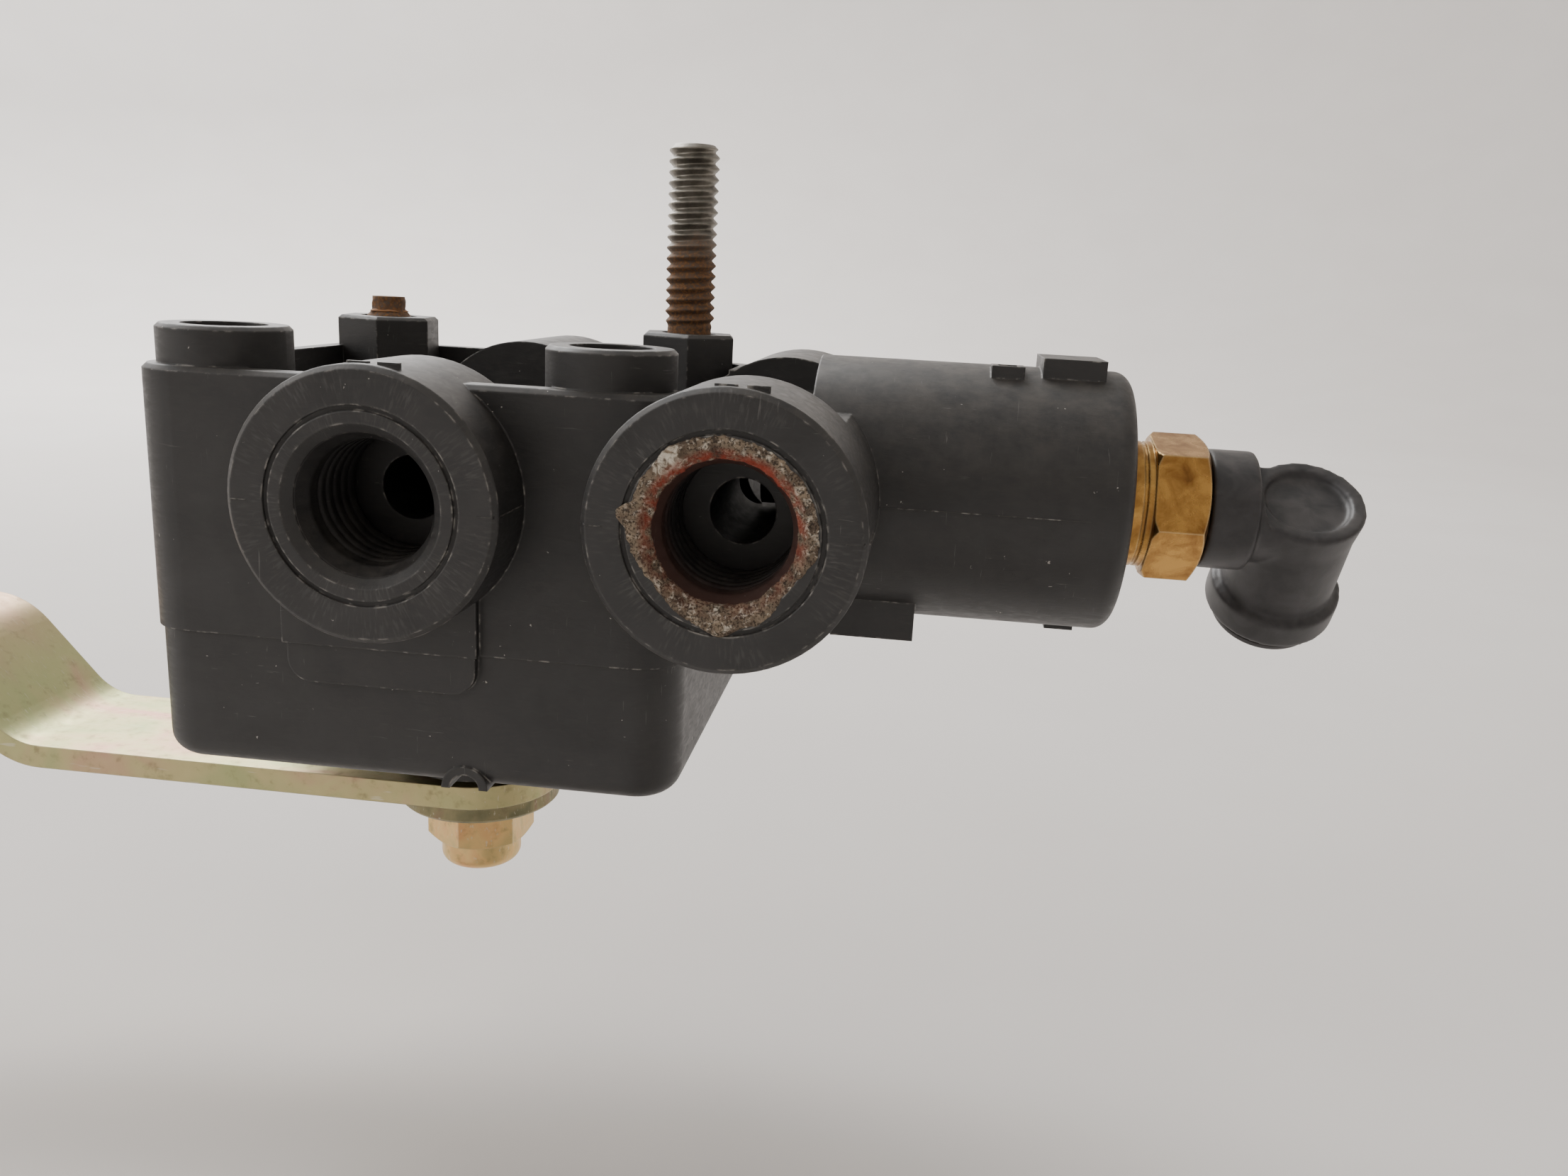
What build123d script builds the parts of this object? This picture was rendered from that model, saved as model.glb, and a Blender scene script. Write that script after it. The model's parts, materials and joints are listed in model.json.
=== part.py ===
from build123d import *

import os
from math import cos, radians, sin, sqrt, tan

os.makedirs("parts", exist_ok=True)

# An air levelling valve: a two-part nylon body with four pipe ports, a rotary disc valve turned
# by a lever from below, and a pilot cylinder on its right end with a brass adapter and an elbow.
# Origin: midway between the two front mounting holes, on the mounting face. +X runs towards the
# pilot cylinder, +Y from the front ports to the rear ones, +Z out of the mounting face.

# ---------------------------------------------------------------- driving dimensions, mm
post_pitch_x = 39.4         # pattern of the four mounting posts
post_pitch_y = 38.1
post_height = 3.8           # posts above the housing top
front_post_d = 12.7
front_hole_d = 8.2
rear_post_af = 11.1
rear_post_turn = -20.0      # degrees, hexagons on the rear posts

body_width = 55.2
body_depth = 52.0
body_left_x = -26.6
body_corner_r = 5.0
upper_height = 26.2
lower_height = 14.2
lower_inset = 0.4           # lower housing inside the outline of the upper one
top_wall = 2.6              # around the moulded recess in the top
top_recess = 5.0

port_boss_d = 25.4
port_stand = 7.5            # port bosses beyond the body wall
front_boss_length = 14.5    # bosses rise from the recess at the front and at the rear only
rear_boss_length = 21.0
port_axis_z = -14.6
port_left_x = 0.6
port_right_x = 33.4
port_thread_d = 13.3        # 1/4-18 pipe thread, root diameter in the housing
port_thread_depth = 12.0
port_chamfer = 0.9
ring_groove_d = 18.3
ring_groove_width = 0.5
ring_groove_depth = 0.35
gallery_d = 6.4

pilot_d = 28.0
pilot_start = 5.0           # from the right ports' axis to the full cylinder
pilot_length = 38.0         # from the right ports' axis to the end of the cap
pilot_bore_d = 21.0
cap_thickness = 3.0
cap_spigot = 4.5

shaft_x = -0.8
shaft_d = 11.0
shaft_neck_d = 9.5
shaft_flats = 8.2           # across the two flats that drive the lever
shaft_thread_d = 6.35
hub_d = 19.0                # boss around the shaft under the lower housing
hub_drop = 6.8
lever_gap = 0.6             # hub to lever
chamber_d = 30.4
chamber_depth = 9.4         # into the upper housing from the joint
disc_d = 30.0
rotor_d = 26.0
disc_thickness = 3.0

lever_width = 19.05
lever_thickness = 2.8
lever_length = 114.3        # shaft axis to the far end of the arm
lever_bend_start = 55.3     # shaft axis to the first bend
lever_rise = 12.9
lever_rise_angle = 48.0
lever_bend_r = 8.5
link_hole_d = 6.6
link_hole_pitch = 12.7
link_hole_count = 3
washer_d = 19.0
washer_thickness = 1.8
nut_af = 11.11
nut_hex_height = 5.2
nut_height = 8.5
nut_collar_d = 9.6
nut_turn = 24.8             # degrees

stud_d = 6.35
stud_length = 63.5
stud_reach = 22.4           # long stud above the mounting face
stud_thread_from = 0.5      # thread starts just above the mounting face
stud_shank_d = 5.5          # rolled to the pitch diameter
broken_reach = 2.4          # snapped stud above the mounting face
bolt_head_af = 11.11
bolt_head_height = 4.0

adapter_collar_d = 13.6
adapter_collar_length = 3.0
adapter_hex_af = 14.0
adapter_hex_length = 5.6
adapter_thread_d = 12.6
adapter_stem_d = 8.4
adapter_bore_d = 4.2

elbow_stub_d = 12.9
elbow_stub_length = 5.2
elbow_neck_d = 10.8
elbow_centre = 19.8         # end cap to the elbow's outlet axis
elbow_drop_angle = 55.0     # outlet below the horizontal, pointing rearwards
elbow_reach = 14.1          # swivel axis to the outlet's end
elbow_barrel_d = 12.2
elbow_collar_d = 14.3
elbow_collar_length = 3.6
tube_d = 6.35

# ---------------------------------------------------------------- clearances, mm
running = 0.05              # radial, turning or sliding fits
bolt_clearance = 0.25       # radial
film = 0.06                 # between faces that turn on each other
gap = 0.3                   # between bodies that move past each other
seat = 0.02                 # seated rings and gaskets, so that faces meet without overlap

# ---------------------------------------------------------------- places worked out from them
mid_y = post_pitch_y / 2
front_y = mid_y - body_depth / 2
rear_y = mid_y + body_depth / 2
front_port_y = front_y - port_stand
rear_port_y = rear_y + port_stand
body_mid_x = body_left_x + body_width / 2
body_right_x = body_left_x + body_width
top_z = -post_height
joint_z = top_z - upper_height
bottom_z = joint_z - lower_height
hub_z = bottom_z - hub_drop
lever_z = hub_z - lever_gap
roof_z = joint_z + chamber_depth
post_x = post_pitch_x / 2
pilot_end_x = port_right_x + pilot_length
cap_x = pilot_end_x - cap_thickness
shaft_at = (shaft_x, mid_y)
pilot_at = (mid_y, port_axis_z)      # on a YZ plane
port_xs = (port_left_x, port_right_x)


def write(piece, name):
    piece.part.label = name
    export_step(piece.part, f"parts/{name}.step")


def hex_side_radius(across_flats):
    return across_flats / sqrt(3)


def yz(x):
    return Plane.YZ.offset(x)


def xz(y):
    # local x is +X and local y is +Z; its normal points to -Y
    return Plane.XZ.offset(-y)


# ================================================================ upper housing
duct_radius = 8.0           # ducts from the galleries down to the stator, about the shaft
duct_d = 4.4
link_d = 5.2
duct_points = ((0, -duct_radius), (0, duct_radius), (duct_radius, 0))
gallery_end = duct_radius - duct_d / 2 - 0.6      # galleries run a little past their ducts
front_gallery_y = mid_y - gallery_end
rear_gallery_y = mid_y + gallery_end
check_bore_d = 9.2
check_bore_depth = 11.0
seat_bore_d = 7.4
seat_bore_x = port_right_x - gallery_d / 2 - 5.0
seat_bore_end_x = port_right_x - gallery_d / 2 - 0.6
guide_x = port_right_x + 9.0
guide_thickness = 3.2
guide_d = 6.0
core_depth = rear_port_y - rear_boss_length - front_port_y - front_boss_length
web_drop = 2.0              # web between the right bosses, below the housing top
pad_width = 19.8
pad_stand = 0.9
pad_left_x = port_left_x - 11.6
tab_x = port_right_x + 8.2
tab_width = 8.9
tab_depth = 17.0
tab_drop = 1.3
lug_width = 6.5
lug_depth = 9.6
lug_x = cap_x - lug_width - 0.1
lug_height = 1.2
mark_x = port_right_x + 23.1
mark_y = mid_y - 3.7
mark_size = 3.4
foot_x = port_right_x + 31.6
foot_width = 3.1
screw_d = 3.5
screw_thread_reach = 7.5
screw_pair = 19.0           # between the two front cover screws
screw_points = (
    (body_left_x + 4.4, mid_y),
    (body_right_x - 4.6, mid_y),
    (shaft_x - screw_pair / 2, front_y + 7.15),
    (shaft_x + screw_pair / 2, front_y + 7.15),
)

with BuildPart() as upper_housing:
    with BuildSketch(Plane.XY.offset(joint_z)):
        with Locations((body_mid_x, mid_y)):
            RectangleRounded(body_width, body_depth, body_corner_r)
    extrude(amount=upper_height)
    top_rim = upper_housing.faces().sort_by(Axis.Z)[-1].edges()
    chamfer(top_rim, length=0.5)
    # the top is cored out inside a rim
    with BuildSketch(Plane.XY.offset(top_z)):
        with Locations((body_mid_x, mid_y)):
            RectangleRounded(body_width - 2 * top_wall, body_depth - 2 * top_wall, body_corner_r - top_wall)
    extrude(amount=-top_recess, mode=Mode.SUBTRACT)
    # port columns from the front bosses through to the rear ones, cored out with the top between
    with BuildSketch(xz(front_port_y)):
        with Locations(*[(x, port_axis_z) for x in port_xs]):
            Circle(port_boss_d / 2)
    extrude(amount=-(rear_port_y - front_port_y))
    port_rims = upper_housing.edges().filter_by(GeomType.CIRCLE).group_by(Axis.Y)
    chamfer(port_rims[0] + port_rims[-1], length=0.5)
    with BuildSketch(Plane.XY):
        with Locations((body_left_x + top_wall, front_port_y + front_boss_length)):
            Rectangle(
                body_width - 2 * top_wall,
                core_depth,
                align=(Align.MIN, Align.MIN),
            )
    extrude(amount=top_z - top_recess, mode=Mode.SUBTRACT)
    with BuildSketch(Plane.XY):
        with Locations((body_right_x - top_wall - 0.5, front_port_y + front_boss_length)):
            Rectangle(port_boss_d, core_depth, align=(Align.MIN, Align.MIN))
    extrude(amount=top_z - web_drop, mode=Mode.SUBTRACT)
    # posts stand on the floor of the recess
    with BuildSketch(Plane.XY.offset(top_z - top_recess)):
        with Locations((-post_x, 0), (post_x, 0)):
            Circle(front_post_d / 2)
        with Locations((-post_x, post_pitch_y), (post_x, post_pitch_y)):
            RegularPolygon(rear_post_af / 2, 6, major_radius=False, rotation=rear_post_turn)
    extrude(amount=top_recess + post_height)
    post_rims = upper_housing.faces().filter_by(Axis.Z).group_by(Axis.Z)[-1].edges()
    chamfer(post_rims, length=0.4)
    # raised pad under the left port
    with BuildSketch(xz(front_y)):
        with Locations((pad_left_x + pad_width / 2, (port_axis_z + joint_z) / 2)):
            Rectangle(pad_width, port_axis_z - joint_z)
    extrude(amount=pad_stand)
    # pilot cylinder
    with BuildSketch(yz(port_right_x + pilot_start)):
        with Locations(pilot_at):
            Circle(pilot_d / 2)
    extrude(amount=cap_x - port_right_x - pilot_start)
    # tab under the cylinder, on its front half
    with BuildSketch(Plane.XY.offset(port_axis_z - pilot_d / 2 - tab_drop)):
        with Locations((tab_x + tab_width / 2, mid_y - tab_depth / 4)):
            Rectangle(tab_width, tab_depth / 2)
    extrude(amount=tab_drop + pilot_d / 4)
    # lug on top of the cylinder, a square moulding mark and a small foot below
    with BuildSketch(Plane.XY.offset(port_axis_z)):
        with Locations((lug_x + lug_width / 2, mid_y)):
            Rectangle(lug_width, lug_depth)
    extrude(amount=pilot_d / 2 + lug_height)
    with BuildSketch(Plane.XY.offset(port_axis_z)):
        with Locations((mark_x + mark_size / 2, mark_y)):
            Rectangle(mark_size, mark_size)
            Rectangle(mark_size - 1.4, mark_size - 1.4, mode=Mode.SUBTRACT)
    extrude(amount=pilot_d / 2 + 0.2)
    with BuildSketch(Plane.XY.offset(port_axis_z)):
        with Locations((foot_x + foot_width / 2, mid_y)):
            Rectangle(foot_width, foot_width)
    extrude(amount=-(pilot_d / 2 + 0.5))
    # moulded dashes on top of the front bosses
    with BuildSketch(Plane.XY.offset(port_axis_z)):
        for x in port_xs:
            with Locations((x - 0.4, front_port_y + 1.6), (x + 2.4, front_port_y + 1.7)):
                Rectangle(2.0, 0.5)
    extrude(amount=port_boss_d / 2 + 0.15)
    # mounting holes and the bores of the studs
    with BuildSketch(Plane.XY.offset(joint_z)):
        with Locations((-post_x, 0), (post_x, 0)):
            Circle(front_hole_d / 2)
        with Locations((-post_x, post_pitch_y), (post_x, post_pitch_y)):
            Circle(stud_d / 2 + bolt_clearance)
    extrude(amount=-joint_z, mode=Mode.SUBTRACT)
    # threaded port bores with their mouths and the fine ring around each
    for face_y, inward in ((front_port_y, -1), (rear_port_y, 1)):
        with BuildSketch(xz(face_y)):
            with Locations(*[(x, port_axis_z) for x in port_xs]):
                Circle(port_thread_d / 2)
        extrude(amount=inward * port_thread_depth, mode=Mode.SUBTRACT)
        with BuildSketch(xz(face_y)):
            with Locations(*[(x, port_axis_z) for x in port_xs]):
                Circle(ring_groove_d / 2)
                Circle(ring_groove_d / 2 - ring_groove_width, mode=Mode.SUBTRACT)
        extrude(amount=inward * ring_groove_depth, mode=Mode.SUBTRACT)
    mouths = [
        edge
        for edge in upper_housing.edges().filter_by(GeomType.CIRCLE)
        if abs(edge.radius - port_thread_d / 2) < 0.01
        and min(abs(edge.center().Y - front_port_y), abs(edge.center().Y - rear_port_y)) < 0.01
    ]
    chamfer(mouths, length=port_chamfer)
    # left galleries, each to its own duct
    with BuildSketch(xz(front_port_y + port_thread_depth)):
        with Locations((port_left_x, port_axis_z)):
            Circle(gallery_d / 2)
    extrude(amount=-(front_gallery_y - front_port_y - port_thread_depth), mode=Mode.SUBTRACT)
    with BuildSketch(xz(rear_port_y - port_thread_depth)):
        with Locations((port_left_x, port_axis_z)):
            Circle(gallery_d / 2)
    extrude(amount=rear_port_y - port_thread_depth - rear_gallery_y, mode=Mode.SUBTRACT)
    # bore of the check valve behind the rear left port
    with BuildSketch(xz(rear_port_y - port_thread_depth)):
        with Locations((port_left_x, port_axis_z)):
            Circle(check_bore_d / 2)
    extrude(amount=check_bore_depth, mode=Mode.SUBTRACT)
    # right gallery, straight through, and its link to the chamber
    with BuildSketch(xz(front_port_y + port_thread_depth)):
        with Locations((port_right_x, port_axis_z)):
            Circle(gallery_d / 2)
    extrude(amount=-(rear_port_y - front_port_y - 2 * port_thread_depth), mode=Mode.SUBTRACT)
    with BuildSketch(yz(shaft_x + gallery_end)):
        with Locations(pilot_at):
            Circle(link_d / 2)
    extrude(amount=port_right_x - shaft_x - gallery_end, mode=Mode.SUBTRACT)
    # chamber of the disc valve and its three ducts
    with BuildSketch(Plane.XY.offset(joint_z)):
        with Locations(shaft_at):
            Circle(chamber_d / 2)
    extrude(amount=chamber_depth, mode=Mode.SUBTRACT)
    with BuildSketch(Plane.XY.offset(roof_z)):
        with Locations(*[(shaft_x + x, mid_y + y) for x, y in duct_points]):
            Circle(duct_d / 2)
    extrude(amount=port_axis_z - roof_z, mode=Mode.SUBTRACT)
    # dump valve: cylinder bore, guide and the bore of its seat
    with BuildSketch(yz(guide_x + guide_thickness)):
        with Locations(pilot_at):
            Circle(pilot_bore_d / 2)
    extrude(amount=cap_x - guide_x - guide_thickness, mode=Mode.SUBTRACT)
    with BuildSketch(yz(seat_bore_x)):
        with Locations(pilot_at):
            Circle(seat_bore_d / 2)
    extrude(amount=seat_bore_end_x - seat_bore_x, mode=Mode.SUBTRACT)
    with BuildSketch(yz(seat_bore_end_x)):
        with Locations(pilot_at):
            Circle(guide_d / 2 + running)
    extrude(amount=guide_x + guide_thickness - seat_bore_end_x, mode=Mode.SUBTRACT)
    # pilot holes for the cover screws
    with BuildSketch(Plane.XY.offset(joint_z)):
        with Locations(*screw_points):
            Circle(screw_d / 2)
    extrude(amount=screw_thread_reach, mode=Mode.SUBTRACT)
write(upper_housing, "upper_housing")

# ================================================================ lower housing
lower_width = body_width - 2 * lower_inset
lower_depth = body_depth - 2 * lower_inset
lower_edge_r = 2.6
lower_pad_drop = 4.0
lower_pad_corner_r = 2.4
seal_mean_d = 35.2
seal_width = 2.0
seal_depth = 1.4
cavity_d = 24.0
cavity_depth = 4.2
bush_d = 14.0
bush_flange_d = 18.0
bush_flange = 1.2
thrust_thickness = 1.0
screw_head_d = 6.8
screw_head_height = 2.4
notch_x = 7.0
notch_r = 1.5
notch_rim = 0.9
cavity_z = joint_z - cavity_depth
head_z = stud_reach - stud_length       # undersides of the studs' hexagon heads

with BuildPart() as lower_housing:
    with BuildSketch(Plane.XY.offset(joint_z)):
        with Locations((body_mid_x, mid_y)):
            RectangleRounded(lower_width, lower_depth, body_corner_r - lower_inset)
    extrude(amount=-lower_height)
    fillet(lower_housing.faces().sort_by(Axis.Z)[0].edges(), radius=lower_edge_r)
    # raised pad that carries on the one under the left port
    with BuildSketch(xz(front_y + lower_inset)) as lower_pad:
        with Locations((pad_left_x + pad_width / 2, joint_z - lower_pad_drop / 2)):
            Rectangle(pad_width - 0.6, lower_pad_drop)
        low_corners = lower_pad.vertices().group_by(Axis.Y)[0]
        fillet(low_corners, radius=lower_pad_corner_r)
    extrude(amount=pad_stand)
    # hub for the shaft
    with BuildSketch(Plane.XY.offset(bottom_z)):
        with Locations(shaft_at):
            Circle(hub_d / 2)
    extrude(amount=-hub_drop, taper=2)
    # rim of the half-round notch that takes the centring pin
    with BuildSketch(xz(front_y + lower_inset + lower_edge_r)):
        with Locations((notch_x, bottom_z)):
            Circle(notch_r + notch_rim)
            Rectangle(10, 10, align=(Align.CENTER, Align.MAX), mode=Mode.SUBTRACT)
    extrude(amount=lower_edge_r + 0.2)
    with BuildSketch(xz(front_y - 2)):
        with Locations((notch_x, bottom_z)):
            Circle(notch_r)
    extrude(amount=-10, mode=Mode.SUBTRACT)
    # mounting holes, stud bores and the pockets of the bolt heads
    with BuildSketch(Plane.XY.offset(bottom_z)):
        with Locations((-post_x, 0), (post_x, 0)):
            Circle(front_hole_d / 2)
        with Locations((-post_x, post_pitch_y), (post_x, post_pitch_y)):
            Circle(stud_d / 2 + bolt_clearance)
    extrude(amount=lower_height, mode=Mode.SUBTRACT)
    with BuildSketch(Plane.XY.offset(head_z)):
        with Locations((-post_x, post_pitch_y), (post_x, post_pitch_y)):
            RegularPolygon(bolt_head_af / 2 + bolt_clearance, 6, major_radius=False)
    extrude(amount=-(head_z - bottom_z), mode=Mode.SUBTRACT)
    # cavity for the rotor's flange and the bore of the bush
    with BuildSketch(Plane.XY.offset(joint_z)):
        with Locations(shaft_at):
            Circle(cavity_d / 2)
    extrude(amount=-cavity_depth, mode=Mode.SUBTRACT)
    with BuildSketch(Plane.XY.offset(cavity_z)):
        with Locations(shaft_at):
            Circle(bush_flange_d / 2)
    extrude(amount=-(thrust_thickness + bush_flange), mode=Mode.SUBTRACT)
    with BuildSketch(Plane.XY.offset(cavity_z)):
        with Locations(shaft_at):
            Circle(bush_d / 2)
    extrude(amount=-(cavity_z - hub_z), mode=Mode.SUBTRACT)
    # groove of the chamber seal
    with BuildSketch(Plane.XY.offset(joint_z)):
        with Locations(shaft_at):
            Circle(seal_mean_d / 2 + seal_width / 2)
            Circle(seal_mean_d / 2 - seal_width / 2, mode=Mode.SUBTRACT)
    extrude(amount=-seal_depth, mode=Mode.SUBTRACT)
    # cover screw holes with sunk heads
    with BuildSketch(Plane.XY.offset(bottom_z)):
        with Locations(*screw_points):
            Circle(screw_d / 2 + bolt_clearance)
    extrude(amount=lower_height, mode=Mode.SUBTRACT)
    with BuildSketch(Plane.XY.offset(bottom_z)):
        with Locations(*screw_points):
            Circle(screw_head_d / 2 + bolt_clearance)
    extrude(amount=screw_head_height + 1.0, mode=Mode.SUBTRACT)
write(lower_housing, "lower_housing")

with BuildPart() as chamber_seal:
    with BuildSketch(Plane.XY.offset(joint_z - seal_depth)):
        with Locations(shaft_at):
            Circle(seal_mean_d / 2 + seal_width / 2 - seat)
            Circle(seal_mean_d / 2 - seal_width / 2 + seat, mode=Mode.SUBTRACT)
    extrude(amount=seal_depth)
    fillet(chamber_seal.edges().filter_by(GeomType.CIRCLE), radius=0.45)
write(chamber_seal, "chamber_seal")

# ================================================================ cover screws
screw_head_z = bottom_z + screw_head_height + 1.0
recess_d = 2.4

with BuildPart() as cover_screws:
    with BuildSketch(Plane.XY.offset(screw_head_z - screw_head_height)):
        with Locations(*screw_points):
            Circle(screw_head_d / 2)
    extrude(amount=screw_head_height)
    with BuildSketch(Plane.XY.offset(screw_head_z)):
        with Locations(*screw_points):
            Circle(screw_d / 2 - seat)
    extrude(amount=joint_z - screw_head_z + screw_thread_reach - 1.0)
    with BuildSketch(Plane.XY.offset(screw_head_z - screw_head_height)):
        with Locations(*screw_points):
            RegularPolygon(recess_d / 2, 6)
    extrude(amount=1.4, mode=Mode.SUBTRACT)
write(cover_screws, "cover_screws")

# ================================================================ rear studs
with BuildPart() as mounting_stud_long:
    with BuildSketch(Plane.XY.offset(head_z)):
        with Locations((post_x, post_pitch_y)):
            RegularPolygon(bolt_head_af / 2, 6, major_radius=False)
    extrude(amount=-bolt_head_height)
    with BuildSketch(Plane.XY.offset(head_z)):
        with Locations((post_x, post_pitch_y)):
            Circle(stud_shank_d / 2)
    extrude(amount=stud_thread_from - head_z)
    with BuildSketch(Plane.XY.offset(stud_thread_from)):
        with Locations((post_x, post_pitch_y)):
            Circle(stud_d / 2)
    extrude(amount=stud_reach - stud_thread_from)
    chamfer(mounting_stud_long.faces().sort_by(Axis.Z)[-1].edges(), length=0.7)
write(mounting_stud_long, "mounting_stud_long")

# the left stud broke off just above its post and left a slanted stump
broken_tilt = 24.0
break_plane = Plane(
    origin=(-post_x, post_pitch_y, broken_reach - 1.2),
    z_dir=(sin(radians(broken_tilt)), 0.25, cos(radians(broken_tilt))),
)
with BuildPart() as mounting_stud_broken:
    with BuildSketch(Plane.XY.offset(head_z)):
        with Locations((-post_x, post_pitch_y)):
            RegularPolygon(bolt_head_af / 2, 6, major_radius=False)
    extrude(amount=-bolt_head_height)
    with BuildSketch(Plane.XY.offset(head_z)):
        with Locations((-post_x, post_pitch_y)):
            Circle(stud_d / 2)
    extrude(amount=broken_reach - head_z)
    split(bisect_by=break_plane, keep=Keep.BOTTOM)
write(mounting_stud_broken, "mounting_stud_broken")

# ================================================================ old sealant around the right port
sealant_thickness = 0.35

with BuildPart() as thread_sealant:
    with BuildSketch(xz(front_port_y)):
        with Locations((port_right_x, port_axis_z)):
            Circle(ring_groove_d / 2 - ring_groove_width)
            Circle(port_thread_d / 2 + port_chamfer, mode=Mode.SUBTRACT)
    extrude(amount=sealant_thickness)
write(thread_sealant, "thread_sealant")

# ================================================================ disc valve
gasket_thickness = 0.8
stator_top = roof_z - gasket_thickness
rotor_top = stator_top - disc_thickness - film
rotor_bottom = rotor_top - disc_thickness
dog_length = 14.0
dog_width = 4.0
dog_height = 2.4
flange_d = 18.0
flange_top = rotor_bottom - 2.0
hole_ring = [(shaft_x + x, mid_y + y) for x, y in duct_points]

with BuildPart() as stator_gasket:
    with BuildSketch(Plane.XY.offset(roof_z)):
        with Locations(shaft_at):
            Circle(disc_d / 2)
        with Locations(*hole_ring):
            Circle(duct_d / 2, mode=Mode.SUBTRACT)
    extrude(amount=-gasket_thickness)
write(stator_gasket, "stator_gasket")

with BuildPart() as stator_disc:
    with BuildSketch(Plane.XY.offset(stator_top)):
        with Locations(shaft_at):
            Circle(disc_d / 2)
        with Locations(*hole_ring):
            Circle(duct_d / 2 - 0.2, mode=Mode.SUBTRACT)
    extrude(amount=-disc_thickness)
write(stator_disc, "stator_disc")

with BuildPart() as rotor_disc:
    with BuildSketch(Plane.XY.offset(rotor_top)):
        with Locations(shaft_at):
            Circle(rotor_d / 2)
    extrude(amount=-disc_thickness)
    # blind crescent that joins two ducts when the lever swings
    with BuildSketch(Plane.XY.offset(rotor_top)):
        with Locations(shaft_at):
            SlotArc(CenterArc((0, 0), duct_radius, -70, 50), duct_d - 0.8)
    extrude(amount=-disc_thickness / 2, mode=Mode.SUBTRACT)
    with BuildSketch(Plane.XY.offset(rotor_bottom)):
        with Locations(shaft_at):
            Rectangle(dog_length + 2 * running, dog_width + 2 * running)
    extrude(amount=dog_height - 2.0 + 0.4, mode=Mode.SUBTRACT)
write(rotor_disc, "rotor_disc")

spring_wire = 0.5

with BuildPart() as rotor_spring:
    # conical disc spring between the shaft's flange and the rotor
    with BuildSketch(Plane.XZ.offset(-mid_y)):
        with BuildLine():
            Polyline(
                (shaft_x + flange_d / 2 - 0.2, flange_top + seat),
                (shaft_x + flange_d / 2 - 0.2, flange_top + spring_wire),
                (shaft_x + dog_length / 2 + 0.3, rotor_bottom - seat),
                (shaft_x + dog_length / 2 + 0.3, rotor_bottom - spring_wire),
                close=True,
            )
        make_face()
    revolve(axis=Axis((shaft_x, mid_y, 0), (0, 0, 1)))
write(rotor_spring, "rotor_spring")

# ================================================================ control shaft
thrust_top = cavity_z
flange_bottom = thrust_top + film
o_ring_section = 1.8
o_ring_squash = 0.1
shaft_ring_zs = (cavity_z - 7.0, cavity_z - 12.0)
thread_end_z = lever_z - lever_thickness - washer_thickness - nut_height - 0.6

with BuildPart() as control_shaft:
    with BuildSketch(Plane.XY.offset(flange_bottom)):
        with Locations(shaft_at):
            Circle(flange_d / 2)
    extrude(amount=flange_top - flange_bottom)
    with BuildSketch(Plane.XY.offset(flange_top)):
        with Locations(shaft_at):
            Rectangle(dog_length, dog_width)
    extrude(amount=dog_height)
    with BuildSketch(Plane.XY.offset(lever_z)):
        with Locations(shaft_at):
            Circle(shaft_d / 2)
    extrude(amount=flange_bottom - lever_z)
    # flatted neck through the lever
    with BuildSketch(Plane.XY.offset(lever_z)):
        with Locations(shaft_at):
            Circle(shaft_neck_d / 2)
            Rectangle(shaft_neck_d, shaft_flats, mode=Mode.INTERSECT)
    extrude(amount=-(lever_thickness - 0.2))
    with BuildSketch(Plane.XY.offset(lever_z)):
        with Locations(shaft_at):
            Circle(shaft_thread_d / 2)
    extrude(amount=thread_end_z - lever_z)
    chamfer(control_shaft.faces().sort_by(Axis.Z)[0].edges(), length=0.6)
    # grooves of the two shaft seals
    for ring_z in shaft_ring_zs:
        with BuildSketch(Plane.XY.offset(ring_z)):
            with Locations(shaft_at):
                Circle(shaft_d / 2)
                Circle(shaft_d / 2 - o_ring_section + o_ring_squash, mode=Mode.SUBTRACT)
        extrude(amount=o_ring_section / 2 + o_ring_squash, both=True, mode=Mode.SUBTRACT)
write(control_shaft, "control_shaft")

with BuildPart() as thrust_washer:
    with BuildSketch(Plane.XY.offset(thrust_top)):
        with Locations(shaft_at):
            Circle(bush_flange_d / 2 - seat)
            Circle(shaft_d / 2 + 0.2, mode=Mode.SUBTRACT)
    extrude(amount=-thrust_thickness)
write(thrust_washer, "thrust_washer")

with BuildPart() as shaft_bush:
    with BuildSketch(Plane.XY.offset(thrust_top - thrust_thickness)):
        with Locations(shaft_at):
            Circle(bush_flange_d / 2 - seat)
    extrude(amount=-bush_flange)
    with BuildSketch(Plane.XY.offset(thrust_top - thrust_thickness)):
        with Locations(shaft_at):
            Circle(bush_d / 2)
    extrude(amount=-(thrust_top - thrust_thickness - hub_z - 0.4))
    with BuildSketch(Plane.XY.offset(thrust_top - thrust_thickness)):
        with Locations(shaft_at):
            Circle(shaft_d / 2 + running)
    extrude(amount=-(thrust_top - thrust_thickness - hub_z), mode=Mode.SUBTRACT)
write(shaft_bush, "shaft_bush")

with BuildPart() as shaft_seals:
    ring_r = (o_ring_section - o_ring_squash) / 2
    with BuildSketch(Plane.XZ.offset(-mid_y)):
        with Locations(*[(shaft_x + shaft_d / 2 - ring_r, z) for z in shaft_ring_zs]):
            Circle(ring_r)
    revolve(axis=Axis((shaft_x, mid_y, 0), (0, 0, 1)))
write(shaft_seals, "shaft_seals")

# ================================================================ lever, washer and lock nut
rise_run = lever_rise / tan(radians(lever_rise_angle))
lever_end_x = shaft_x - lever_length
bend_x = shaft_x - lever_bend_start
lever_mid_z = lever_z - lever_thickness / 2
arm_z = lever_mid_z + lever_rise
lever_route = [
    (shaft_x + lever_width / 2, lever_mid_z),
    (bend_x, lever_mid_z),
    (bend_x - rise_run, arm_z),
    (lever_end_x, arm_z),
]

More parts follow.
